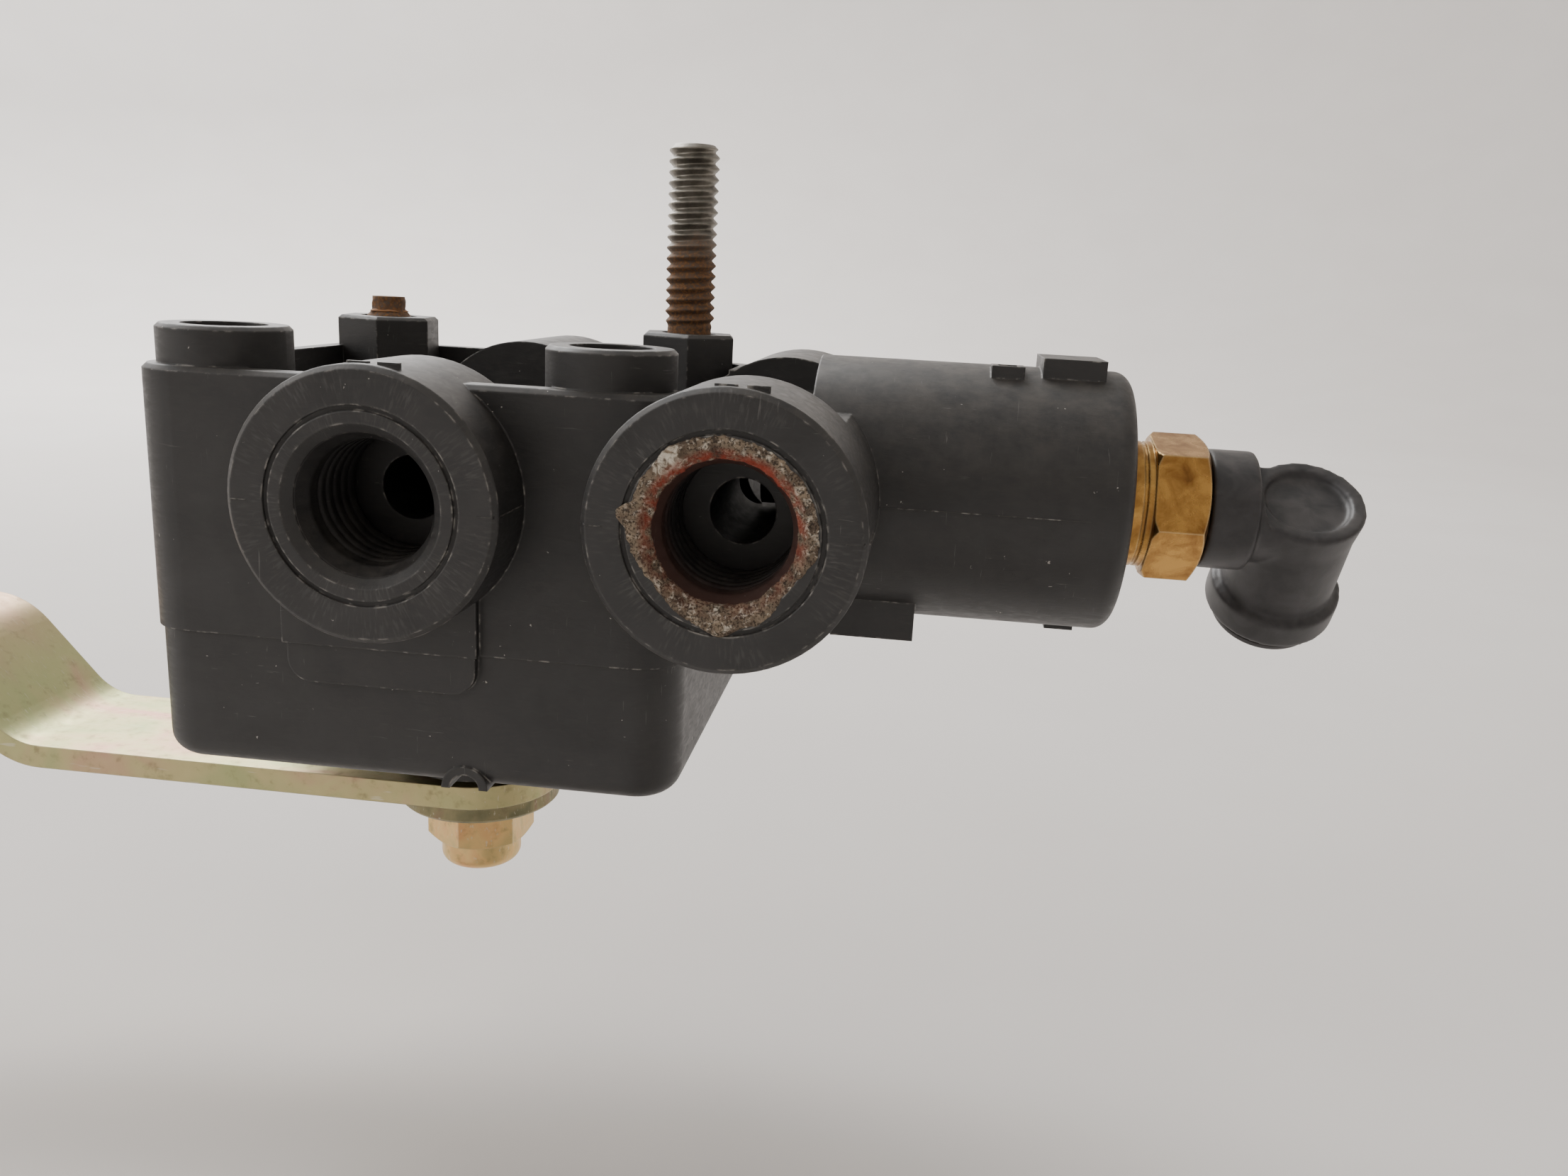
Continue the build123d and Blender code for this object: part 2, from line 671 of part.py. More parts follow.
with BuildPart() as lever:
    # bent strip: its side view, extruded across its width
    with BuildSketch(Plane.XZ.offset(-mid_y)):
        with BuildLine() as lever_line:
            FilletPolyline(*lever_route, radius=lever_bend_r)
        trace(lever_line.line, lever_thickness)
    extrude(amount=lever_width / 2, both=True)
    # round both ends and pierce the holes, seen from above
    with BuildSketch(Plane.XY.offset(lever_z - 2 * lever_thickness)) as lever_plan:
        with Locations(((shaft_x + lever_end_x + lever_width / 2) / 2, mid_y)):
            SlotCenterToCenter(lever_length - lever_width / 2, lever_width)
        with Locations(shaft_at):
            with BuildSketch(mode=Mode.PRIVATE) as flatted_hole:
                Circle(shaft_neck_d / 2 + running)
                Rectangle(shaft_neck_d + 1, shaft_flats + 2 * running, mode=Mode.INTERSECT)
            add(flatted_hole.sketch, mode=Mode.SUBTRACT)
        for i in range(link_hole_count):
            with Locations((lever_end_x + lever_width / 2 + i * link_hole_pitch, mid_y)):
                Circle(link_hole_d / 2, mode=Mode.SUBTRACT)
    extrude(amount=lever_rise + 4 * lever_thickness, mode=Mode.INTERSECT)
write(lever, "lever")

washer_z = lever_z - lever_thickness
nut_z = washer_z - washer_thickness

with BuildPart() as lever_washer:
    with BuildSketch(Plane.XY.offset(washer_z)):
        with Locations(shaft_at):
            Circle(washer_d / 2)
            Circle(shaft_thread_d / 2 + bolt_clearance, mode=Mode.SUBTRACT)
    extrude(amount=-washer_thickness)
    chamfer(lever_washer.faces().sort_by(Axis.Z)[0].outer_wire().edges(), length=0.3)
write(lever_washer, "lever_washer")

insert_height = 2.0

with BuildPart() as lever_nut:
    with BuildSketch(Plane.XY.offset(nut_z)):
        with Locations(shaft_at):
            RegularPolygon(nut_af / 2, 6, major_radius=False, rotation=nut_turn)
    extrude(amount=-nut_hex_height)
    # both ends of the hexagon are turned to a shallow cone
    with BuildSketch(Plane.XZ.offset(-mid_y)):
        corner_r = hex_side_radius(nut_af)
        with BuildLine():
            Polyline(
                (shaft_x, nut_z),
                (shaft_x + corner_r - 1.0, nut_z),
                (shaft_x + corner_r, nut_z - 0.5),
                (shaft_x + corner_r, nut_z - nut_hex_height + 0.5),
                (shaft_x + corner_r - 1.0, nut_z - nut_hex_height),
                (shaft_x, nut_z - nut_hex_height),
                close=True,
            )
        make_face()
    revolve(axis=Axis((shaft_x, mid_y, 0), (0, 0, 1)), mode=Mode.INTERSECT)
    with BuildSketch(Plane.XY.offset(nut_z - nut_hex_height)):
        with Locations(shaft_at):
            Circle(nut_collar_d / 2)
    extrude(amount=-(nut_height - nut_hex_height))
    fillet(lever_nut.faces().sort_by(Axis.Z)[0].edges(), radius=1.3)
    with BuildSketch(Plane.XY.offset(nut_z)):
        with Locations(shaft_at):
            Circle(shaft_thread_d / 2)
    extrude(amount=-nut_height, mode=Mode.SUBTRACT)
    with BuildSketch(Plane.XY.offset(nut_z - nut_height + 0.6)):
        with Locations(shaft_at):
            Circle(shaft_thread_d / 2 + 0.9)
    extrude(amount=insert_height, mode=Mode.SUBTRACT)
write(lever_nut, "lever_nut")

with BuildPart() as lever_nut_insert:
    with BuildSketch(Plane.XY.offset(nut_z - nut_height + 0.6)):
        with Locations(shaft_at):
            Circle(shaft_thread_d / 2 + 0.9)
            Circle(shaft_thread_d / 2, mode=Mode.SUBTRACT)
    extrude(amount=insert_height)
write(lever_nut_insert, "lever_nut_insert")

# ================================================================ inlet check valve, rear left port
check_start_y = rear_port_y - port_thread_depth
screen_thickness = 0.6
screen_pitch = 1.3
check_seat_length = 2.5
poppet_d = 7.4
poppet_length = 3.0
poppet_gap = 0.1
check_floor_y = check_start_y - check_bore_depth
check_seat_y = check_start_y - screen_thickness
poppet_front_y = check_seat_y - check_seat_length - poppet_gap
poppet_back_y = poppet_front_y - poppet_length
left_port_at = (port_left_x, port_axis_z)

with BuildPart() as inlet_screen:
    with BuildSketch(xz(check_start_y)):
        with Locations(left_port_at):
            Circle(check_bore_d / 2)
            with GridLocations(screen_pitch, screen_pitch, 5, 5):
                Rectangle(screen_pitch - 0.6, screen_pitch - 0.6, mode=Mode.SUBTRACT)
    extrude(amount=screen_thickness)
write(inlet_screen, "inlet_screen")

with BuildPart() as check_seat:
    with BuildSketch(xz(check_seat_y)):
        with Locations(left_port_at):
            Circle(check_bore_d / 2)
            Circle(2.4, mode=Mode.SUBTRACT)
    extrude(amount=check_seat_length)
write(check_seat, "check_seat")

with BuildPart() as check_poppet:
    with BuildSketch(xz(poppet_front_y)):
        with Locations(left_port_at):
            Circle(poppet_d / 2)
    extrude(amount=poppet_length)
    with BuildSketch(xz(poppet_back_y)):
        with Locations(left_port_at):
            Circle(poppet_d / 2 - 1.1)
    extrude(amount=-(poppet_length - 1.0), mode=Mode.SUBTRACT)
    # flats that let the air pass
    with BuildSketch(xz(poppet_front_y)):
        with Locations(left_port_at):
            Rectangle(poppet_d, poppet_d - 0.8)
    extrude(amount=poppet_length, mode=Mode.INTERSECT)
write(check_poppet, "check_poppet")

check_wire = 0.5
check_coil_r = 2.1
check_spring_y = poppet_front_y - 1.0 - check_wire / 2 - seat
check_spring_end_y = check_floor_y + check_wire / 2 + seat
check_spring_length = check_spring_y - check_spring_end_y
check_spring_origin = (port_left_x, check_spring_end_y, port_axis_z)
check_helix = Helix(
    pitch=check_spring_length / 4,
    height=check_spring_length,
    radius=check_coil_r,
    center=check_spring_origin,
    direction=(0, 1, 0),
)
with BuildPart() as check_spring:
    with BuildSketch(Plane(origin=check_helix @ 0, z_dir=check_helix % 0)):
        Circle(check_wire / 2)
    sweep(path=check_helix)
write(check_spring, "check_spring")

# ================================================================ dump valve in the pilot cylinder
dump_travel = 4.0
piston_length = 7.0
piston_gap = 0.1
seat_length = 3.0
seat_orifice_d = 4.0
piston_stop_x = cap_x - cap_spigot
piston_right_x = piston_stop_x - gap
piston_left_x = piston_right_x - piston_length
seat_right_x = seat_bore_x + seat_length
nose_x = seat_right_x + dump_travel + gap
nose_rubber = 1.6
piston_ring_x = piston_left_x + piston_length / 2
ring_section = 2.4
spring_x0 = guide_x + guide_thickness

with BuildPart() as dump_seat:
    with BuildSketch(yz(seat_right_x)):
        with Locations(pilot_at):
            Circle(seat_bore_d / 2)
            Circle(seat_orifice_d / 2, mode=Mode.SUBTRACT)
    extrude(amount=-seat_length)
write(dump_seat, "dump_seat")

with BuildPart() as dump_piston:
    with BuildSketch(yz(piston_left_x)):
        with Locations(pilot_at):
            Circle(pilot_bore_d / 2 - piston_gap)
    extrude(amount=piston_length)
    with BuildSketch(yz(nose_x + nose_rubber)):
        with Locations(pilot_at):
            Circle(guide_d / 2 - 0.02)
    extrude(amount=piston_left_x - nose_x - nose_rubber)
    with BuildSketch(yz(piston_ring_x)):
        with Locations(pilot_at):
            Circle(pilot_bore_d / 2)
            Circle(pilot_bore_d / 2 - ring_section + 0.2, mode=Mode.SUBTRACT)
    extrude(amount=ring_section / 2 + 0.1, both=True, mode=Mode.SUBTRACT)
    # hollow back of the piston
    with BuildSketch(yz(piston_right_x)):
        with Locations(pilot_at):
            Circle(pilot_bore_d / 2 - 4.0)
    extrude(amount=-2.5, mode=Mode.SUBTRACT)
write(dump_piston, "dump_piston")

with BuildPart() as dump_poppet_seal:
    with BuildSketch(yz(nose_x)):
        with Locations(pilot_at):
            Circle(guide_d / 2 - 0.2)
    extrude(amount=nose_rubber)
write(dump_poppet_seal, "dump_poppet_seal")

with BuildPart() as dump_piston_seal:
    piston_ring_r = (ring_section - 0.2) / 2 - 0.02
    with BuildSketch(Plane.XY.offset(port_axis_z)):
        with Locations((piston_ring_x, mid_y + pilot_bore_d / 2 - 0.03 - piston_ring_r)):
            Circle(piston_ring_r)
    revolve(axis=Axis((0, mid_y, port_axis_z), (1, 0, 0)))
write(dump_piston_seal, "dump_piston_seal")

dump_wire = 1.3
dump_coil_r = 7.0
dump_coils = 5
dump_spring_length = piston_left_x - spring_x0 - dump_wire - 0.1
dump_helix = Helix(
    pitch=dump_spring_length / dump_coils,
    height=dump_spring_length,
    radius=dump_coil_r,
    center=(spring_x0 + dump_wire / 2 + 0.05, mid_y, port_axis_z),
    direction=(1, 0, 0),
)
with BuildPart() as dump_spring:
    with BuildSketch(Plane(origin=dump_helix @ 0, z_dir=dump_helix % 0)):
        Circle(dump_wire / 2)
    sweep(path=dump_helix)
write(dump_spring, "dump_spring")

# ================================================================ pilot end cap
cap_edge_r = 1.8
cap_seal_section = 1.8

with BuildPart() as pilot_end_cap:
    with BuildSketch(yz(cap_x)):
        with Locations(pilot_at):
            Circle(pilot_d / 2)
    extrude(amount=cap_thickness)
    fillet(pilot_end_cap.faces().sort_by(Axis.X)[-1].edges(), radius=cap_edge_r)
    with BuildSketch(yz(cap_x)):
        with Locations(pilot_at):
            Circle(pilot_bore_d / 2 - seat)
    extrude(amount=-cap_spigot)
    with BuildSketch(yz(cap_x - cap_spigot / 2)):
        with Locations(pilot_at):
            Circle(pilot_bore_d / 2)
            Circle(pilot_bore_d / 2 - cap_seal_section + 0.2, mode=Mode.SUBTRACT)
    extrude(amount=cap_seal_section / 2 + 0.1, both=True, mode=Mode.SUBTRACT)
    with BuildSketch(yz(cap_x - cap_spigot)):
        with Locations(pilot_at):
            Circle(adapter_thread_d / 2)
    extrude(amount=cap_thickness + cap_spigot, mode=Mode.SUBTRACT)
write(pilot_end_cap, "pilot_end_cap")

with BuildPart() as cap_seal:
    cap_ring_r = (cap_seal_section - 0.2) / 2
    with BuildSketch(Plane.XY.offset(port_axis_z)):
        with Locations((cap_x - cap_spigot / 2, mid_y + pilot_bore_d / 2 - cap_ring_r)):
            Circle(cap_ring_r)
    revolve(axis=Axis((0, mid_y, port_axis_z), (1, 0, 0)))
write(cap_seal, "cap_seal")

# ================================================================ brass adapter
hex_x = pilot_end_x + adapter_collar_length
hex_end_x = hex_x + adapter_hex_length
stem_length = 4.6
stem_end_x = hex_end_x + stem_length
clip_x = hex_end_x + 1.3
clip_width = 1.2
clip_depth = 0.7
swivel_ring_x = hex_end_x + 3.2
swivel_ring_section = 1.5

with BuildPart() as brass_adapter:
    with BuildSketch(yz(cap_x - cap_spigot + 0.4)):
        with Locations(pilot_at):
            Circle(adapter_thread_d / 2)
    extrude(amount=pilot_end_x - cap_x + cap_spigot - 0.4)
    with BuildSketch(yz(pilot_end_x)):
        with Locations(pilot_at):
            Circle(adapter_collar_d / 2)
    extrude(amount=adapter_collar_length)
    # fine groove at the root of the hexagon
    with BuildSketch(yz(hex_x - 1.1)):
        with Locations(pilot_at):
            Circle(adapter_collar_d / 2)
            Circle(adapter_collar_d / 2 - 0.3, mode=Mode.SUBTRACT)
    extrude(amount=0.4, mode=Mode.SUBTRACT)
    with BuildSketch(yz(hex_x)):
        with Locations(pilot_at):
            RegularPolygon(adapter_hex_af / 2, 6, major_radius=False, rotation=11)
    extrude(amount=adapter_hex_length)
    with BuildSketch(Plane.XY.offset(port_axis_z)):
        corner_r = hex_side_radius(adapter_hex_af)
        thread_end_x = cap_x - cap_spigot + 0.4
        with BuildLine():
            Polyline(
                (thread_end_x, mid_y),
                (thread_end_x, mid_y + adapter_thread_d / 2),
                (hex_x, mid_y + adapter_thread_d / 2 + 1.2),
                (hex_x + 0.55, mid_y + corner_r),
                (hex_end_x - 0.55, mid_y + corner_r),
                (hex_end_x, mid_y + corner_r - 1.1),
                (hex_end_x, mid_y),
                close=True,
            )
        make_face()
    revolve(axis=Axis((0, mid_y, port_axis_z), (1, 0, 0)), mode=Mode.INTERSECT)
    # stem that the elbow swivels on, with grooves for its clip and its ring
    with BuildSketch(yz(hex_end_x)):
        with Locations(pilot_at):
            Circle(adapter_stem_d / 2)
    extrude(amount=stem_length)
    for groove_x, groove_width, groove_depth in (
        (clip_x, clip_width + 0.1, clip_depth),
        (swivel_ring_x, swivel_ring_section + 0.1, swivel_ring_section - 0.1),
    ):
        with BuildSketch(yz(groove_x)):
            with Locations(pilot_at):
                Circle(adapter_stem_d / 2)
                Circle(adapter_stem_d / 2 - groove_depth, mode=Mode.SUBTRACT)
        extrude(amount=groove_width / 2, both=True, mode=Mode.SUBTRACT)
    with BuildSketch(yz(cap_x - cap_spigot)):
        with Locations(pilot_at):
            Circle(adapter_bore_d / 2)
    extrude(amount=stem_end_x - cap_x + cap_spigot, mode=Mode.SUBTRACT)
write(brass_adapter, "brass_adapter")

with BuildPart() as swivel_ring:
    swivel_r = (swivel_ring_section - 0.1) / 2
    with BuildSketch(Plane.XY.offset(port_axis_z)):
        with Locations((swivel_ring_x, mid_y + adapter_stem_d / 2 - swivel_r)):
            Circle(swivel_r)
    revolve(axis=Axis((0, mid_y, port_axis_z), (1, 0, 0)))
write(swivel_ring, "swivel_ring")

with BuildPart() as swivel_clip:
    with BuildSketch(yz(clip_x)):
        with Locations(pilot_at):
            Circle(adapter_stem_d / 2 + 0.9)
            Circle(adapter_stem_d / 2 - clip_depth + running, mode=Mode.SUBTRACT)
    extrude(amount=clip_width / 2, both=True)
write(swivel_clip, "swivel_clip")

# ================================================================ push-in elbow
elbow_x = pilot_end_x + elbow_centre
elbow_start_x = hex_end_x + gap
outlet_dir = (0, cos(radians(elbow_drop_angle)), -sin(radians(elbow_drop_angle)))
outlet = Plane(origin=(elbow_x, mid_y, port_axis_z), x_dir=(1, 0, 0), z_dir=outlet_dir)
inner_bore_d = 2.4
socket_depth = 11.5
collet_d = 10.4
collet_bore_depth = 9.5
collar_start = elbow_reach - elbow_collar_length
barrel_back = 2.2           # closed end of the barrel, beyond the swivel axis
stub_end_x = elbow_start_x + elbow_stub_length

with BuildPart() as elbow_body:
    with BuildSketch(yz(elbow_start_x)):
        with Locations(pilot_at):
            Circle(elbow_stub_d / 2)
    extrude(amount=elbow_stub_length)
    fillet(elbow_body.faces().sort_by(Axis.X)[-1].edges(), radius=0.9)
    with BuildSketch(yz(elbow_start_x)):
        with Locations(pilot_at):
            Circle(elbow_neck_d / 2)
    extrude(amount=elbow_x - elbow_start_x)
    with BuildSketch(outlet.offset(-barrel_back)):
        Circle(elbow_barrel_d / 2)
    extrude(amount=barrel_back + collar_start)
    with BuildSketch(outlet.offset(collar_start)):
        Circle(elbow_collar_d / 2)
    extrude(amount=elbow_collar_length)
    # the closed end is one flat face that also trims the neck
    with BuildSketch(outlet.offset(-barrel_back)):
        with Locations((stub_end_x - elbow_x, 0)):
            Rectangle(
                elbow_stub_d * 2, elbow_stub_d * 2, align=(Align.MIN, Align.CENTER)
            )
    extrude(amount=-elbow_stub_d, mode=Mode.SUBTRACT)
    fillet(elbow_body.faces().sort_by(Axis(outlet.origin, outlet.z_dir))[-1].edges(), radius=0.5)
    # bores: swivel socket, cross passage, collet bore and tube seat
    with BuildSketch(yz(elbow_start_x)):
        with Locations(pilot_at):
            Circle(adapter_stem_d / 2 + running)
    extrude(amount=stem_end_x - elbow_start_x + gap, mode=Mode.SUBTRACT)
    with BuildSketch(yz(clip_x)):
        with Locations(pilot_at):
            Circle(adapter_stem_d / 2 + 0.95)
    extrude(amount=clip_width / 2 + 0.05, both=True, mode=Mode.SUBTRACT)
    with BuildSketch(yz(stem_end_x)):
        with Locations(pilot_at):
            Circle(inner_bore_d / 2)
    extrude(amount=elbow_x - stem_end_x, mode=Mode.SUBTRACT)
    with BuildSketch(outlet):
        Circle(inner_bore_d / 2)
    extrude(amount=elbow_reach, mode=Mode.SUBTRACT)
    with BuildSketch(outlet.offset(elbow_reach - socket_depth)):
        Circle(tube_d / 2 + running)
    extrude(amount=socket_depth, mode=Mode.SUBTRACT)
    with BuildSketch(outlet.offset(elbow_reach - collet_bore_depth)):
        Circle(collet_d / 2 + running)
    extrude(amount=collet_bore_depth, mode=Mode.SUBTRACT)
write(elbow_body, "elbow_body")

tube_seal_length = 2.2
grip_thickness = 0.5
collet_travel = 0.8
collet_length = 4.2
tube_seal_start = elbow_reach - collet_bore_depth
grip_start = tube_seal_start + tube_seal_length + 0.6
collet_start = elbow_reach - collet_length
collet_lip_d = 12.0
collet_lip = 0.8
collet_proud = collet_travel + collet_lip + gap

with BuildPart() as tube_seal:
    with BuildSketch(outlet.offset(tube_seal_start)):
        Circle(collet_d / 2)
        Circle(tube_d / 2 + running, mode=Mode.SUBTRACT)
    extrude(amount=tube_seal_length)
write(tube_seal, "tube_seal")

with BuildPart() as grip_ring:
    with BuildSketch(outlet.offset(grip_start)):
        Circle(collet_d / 2)
        Circle(tube_d / 2 + 0.15, mode=Mode.SUBTRACT)
        with PolarLocations(tube_d / 2 + 0.6, 12):
            Rectangle(1.4, 0.5, mode=Mode.SUBTRACT)
    extrude(amount=grip_thickness)
write(grip_ring, "grip_ring")

with BuildPart() as release_collet:
    with BuildSketch(outlet.offset(collet_start)):
        Circle(collet_d / 2 - running)
    extrude(amount=collet_length + collet_proud)
    with BuildSketch(outlet.offset(elbow_reach + collet_proud - collet_lip)):
        Circle(collet_lip_d / 2)
    extrude(amount=collet_lip)
    fillet(
        release_collet.faces().sort_by(Axis(outlet.origin, outlet.z_dir))[-1].edges(), radius=0.35
    )
    with BuildSketch(outlet.offset(collet_start)):
        Circle(tube_d / 2 + 0.1)
    extrude(amount=collet_length + collet_proud, mode=Mode.SUBTRACT)
write(release_collet, "release_collet")
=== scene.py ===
import json
import math

import bmesh
import bpy
from mathutils import Matrix, Vector, noise


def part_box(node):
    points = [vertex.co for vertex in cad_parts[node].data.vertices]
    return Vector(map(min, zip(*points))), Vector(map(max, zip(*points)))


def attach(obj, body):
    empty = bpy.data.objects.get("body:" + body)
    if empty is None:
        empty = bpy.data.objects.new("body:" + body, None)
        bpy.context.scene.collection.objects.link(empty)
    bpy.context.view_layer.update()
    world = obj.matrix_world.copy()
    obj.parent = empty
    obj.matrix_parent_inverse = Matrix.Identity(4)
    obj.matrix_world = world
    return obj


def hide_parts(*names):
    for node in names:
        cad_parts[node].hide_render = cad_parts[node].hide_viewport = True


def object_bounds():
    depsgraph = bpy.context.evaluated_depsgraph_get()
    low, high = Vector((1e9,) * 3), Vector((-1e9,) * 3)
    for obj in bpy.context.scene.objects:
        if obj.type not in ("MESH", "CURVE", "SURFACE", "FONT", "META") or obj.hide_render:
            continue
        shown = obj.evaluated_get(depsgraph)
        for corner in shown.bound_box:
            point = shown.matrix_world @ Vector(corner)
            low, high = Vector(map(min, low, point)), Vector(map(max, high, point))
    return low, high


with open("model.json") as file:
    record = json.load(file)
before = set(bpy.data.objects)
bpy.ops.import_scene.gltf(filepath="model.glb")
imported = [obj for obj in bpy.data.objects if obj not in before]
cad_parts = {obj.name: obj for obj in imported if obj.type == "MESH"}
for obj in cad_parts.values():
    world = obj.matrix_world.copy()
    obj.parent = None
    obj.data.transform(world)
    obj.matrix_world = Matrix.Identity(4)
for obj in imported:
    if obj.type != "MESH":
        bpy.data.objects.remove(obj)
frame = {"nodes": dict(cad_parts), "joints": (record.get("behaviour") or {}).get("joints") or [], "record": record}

cad_box = [list(corner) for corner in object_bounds()]
nodes = frame["nodes"]
mounts = {mount["name"]: mount for mount in frame["record"]["mounts"]}
mm = 0.001


# ---------------------------------------------------------------- camera
# A hand-held close-up from just above the housing's top, level with the right-hand ports and
# turned a little to the left, as when the valve is looked over on a bench.
camera_place = Vector((49.9, -117.0, 7.0)) * mm
camera_pan, camera_dip, camera_roll = 6.06, -14.06, -3.07
camera = bpy.data.objects.new("camera", bpy.data.cameras.new("camera"))
bpy.context.collection.objects.link(camera)
camera.data.sensor_width = 36
camera.data.lens = 28.14
camera.data.clip_start = 0.005
camera.matrix_world = (
    Matrix.Translation(camera_place)
    @ Matrix.Rotation(math.radians(camera_pan), 4, "Z")
    @ Matrix.Rotation(math.radians(camera_dip), 4, "X")
    @ Matrix.Rotation(math.radians(camera_roll), 4, "Y")
    @ Matrix.Rotation(math.radians(90), 4, "X")
)
bpy.context.scene.camera = camera


# ---------------------------------------------------------------- housings and pilot end cap
# Injection-moulded 30% glass-filled nylon, black. The mould leaves a fine matt skin with faint
# flow marks, and years under a vehicle leave hairline scratches, pale bruised edges and chips.
# What faces up is painted paler: partly a film of dust, partly painted light from above. The port
# faces are rubbed by the fittings that were screwed in.
def linear(hex_colour):
    """Turns an sRGB hex colour into the linear values that the shaders take."""
    parts = [int(hex_colour[i : i + 2], 16) / 255 for i in (1, 3, 5)]
    return [p / 12.92 if p <= 0.04045 else ((p + 0.055) / 1.055) ** 2.4 for p in parts] + [1.0]


def add(material, kind, inputs=None, output=0, **settings):
    """Adds a node with its options, values and links, and gives back one of its outputs."""
    node = material.node_tree.nodes.new("ShaderNode" + kind)
    for name, value in settings.items():
        setattr(node, name, value)
    for name, value in (inputs or {}).items():
        if isinstance(value, bpy.types.NodeSocket):
            material.node_tree.links.new(value, node.inputs[name])
        else:
            node.inputs[name].default_value = value
    return node.outputs[output] if node.outputs else None


def new_material(name):
    """An empty material, and the object coordinates that its patterns are laid out in."""
    material = bpy.data.materials.new(name)
    material.use_nodes = True
    material.node_tree.nodes.clear()
    return material, add(material, "TexCoord", output="Object")


def in_radians(*degrees):
    return [math.radians(angle) for angle in degrees]


def worn_edges(material, radius, low=0.90, high=0.995):
    """1 along outer and inner edges and 0 on flat faces, with the edge's rounded normal."""
    rounded = add(material, "Bevel", {"Radius": radius}, samples=6)
    flat = add(material, "NewGeometry", output="Normal")
    dot = add(material, "VectorMath", {0: rounded, 1: flat}, output="Value", operation="DOT_PRODUCT")
    edge = add(
        material,
        "MapRange",
        {"Value": dot, "From Min": low, "From Max": high, "To Min": 1.0, "To Max": 0.0},
    )
    return edge, rounded


def dress(material, *names):
    """Gives a material to CAD pieces."""
    for name in names:
        mesh = nodes[name].data
        mesh.materials.clear()
        mesh.materials.append(material)


port_left = Vector(mounts["port_front_left"]["pos_m"])
port_right = Vector(mounts["port_front_right"]["pos_m"])
housing_low, housing_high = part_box("upper_housing")
front_face_y = housing_low.y
rear_face_y = housing_high.y
boss_radius = 12.7 * mm

nylon, here = new_material("glass_filled_nylon_black")
mottle = add(nylon, "TexNoise", {"Vector": here, "Scale": 1 / (7 * mm), "Detail": 4, "Distortion": 0.6})
along_flow = add(nylon, "Mapping", {"Vector": here, "Scale": (1, 1, 3.5), "Rotation": in_radians(0, 20, 0)})
flow = add(
    nylon, "TexNoise", {"Vector": along_flow, "Scale": 1 / (2.2 * mm), "Detail": 5, "Distortion": 1.2}
)
# grit of the matt skin, drawn at 0.2 mm so that it shows
skin = add(nylon, "TexNoise", {"Vector": here, "Scale": 1 / (0.2 * mm)})
hairs = 0.0
for stretch, slant, width in (((14, 1, 1), (15, 25, 40), 3.2 * mm), ((1, 1, 16), (50, -35, 10), 3.8 * mm)):
    along_hair = add(nylon, "Mapping", {"Vector": here, "Scale": stretch, "Rotation": in_radians(*slant)})
    hair = add(
        nylon, "TexNoise", {"Vector": along_hair, "Scale": 1 / width, "Detail": 3, "Distortion": 0.6}
    )
    hair = add(nylon, "MapRange", {"Value": hair, "From Min": 0.7, "From Max": 0.74})
    hairs = add(nylon, "Math", {0: hairs, 1: hair}, operation="ADD")
scratched = add(nylon, "TexNoise", {"Vector": here, "Scale": 1 / (9 * mm)})
scratched = add(nylon, "MapRange", {"Value": scratched, "From Min": 0.48, "From Max": 0.62})
hairs = add(nylon, "Math", {0: hairs, 1: scratched}, operation="MULTIPLY")
# rubbed strokes on the four port faces run out from each port's axis
place = add(nylon, "SeparateXYZ", {"Vector": here}).node.outputs
mid_x = (port_left.x + port_right.x) / 2
is_right = add(nylon, "Math", {0: place["X"], 1: mid_x}, operation="GREATER_THAN")
port_x = add(nylon, "Math", {0: is_right, 1: port_right.x - port_left.x}, operation="MULTIPLY")
port_x = add(nylon, "Math", {0: port_x, 1: port_left.x}, operation="ADD")
across = add(nylon, "Math", {0: place["X"], 1: port_x}, operation="SUBTRACT")
upward = add(nylon, "Math", {0: place["Z"], 1: port_left.z}, operation="SUBTRACT")
angle = add(nylon, "Math", {0: upward, 1: across}, operation="ARCTAN2")
across_squared = add(nylon, "Math", {0: across, 1: across}, operation="MULTIPLY")
upward_squared = add(nylon, "Math", {0: upward, 1: upward}, operation="MULTIPLY")
radius = add(nylon, "Math", {0: across_squared, 1: upward_squared}, operation="ADD")
radius = add(nylon, "Math", {0: radius}, operation="SQRT")
round_axis = add(nylon, "Math", {0: angle, 1: 26.0}, operation="MULTIPLY")
from_axis = add(nylon, "Math", {0: radius, 1: 420.0}, operation="MULTIPLY")
polar = add(nylon, "CombineXYZ", {"X": round_axis, "Y": from_axis})
strokes = add(nylon, "TexNoise", {"Vector": polar, "Scale": 1.6, "Detail": 5.0})
from_middle = add(nylon, "Math", {0: place["Y"], 1: (front_face_y + rear_face_y) / 2}, operation="SUBTRACT")
from_middle = add(nylon, "Math", {0: from_middle}, operation="ABSOLUTE")
on_port_face = add(
    nylon,
    "Math",
    {0: from_middle, 1: (rear_face_y - front_face_y) / 2 - 0.3 * mm},
    operation="GREATER_THAN",
)
rubbed = add(nylon, "TexNoise", {"Vector": here, "Scale": 1 / (4 * mm)})
rubbed = add(nylon, "MapRange", {"Value": rubbed, "From Min": 0.4, "From Max": 0.62})
strokes = add(nylon, "MapRange", {"Value": strokes, "From Min": 0.5, "From Max": 0.78})
strokes = add(nylon, "Math", {0: strokes, 1: on_port_face}, operation="MULTIPLY")
strokes = add(nylon, "Math", {0: strokes, 1: rubbed}, operation="MULTIPLY")
edge, rounded = worn_edges(nylon, 0.3 * mm)
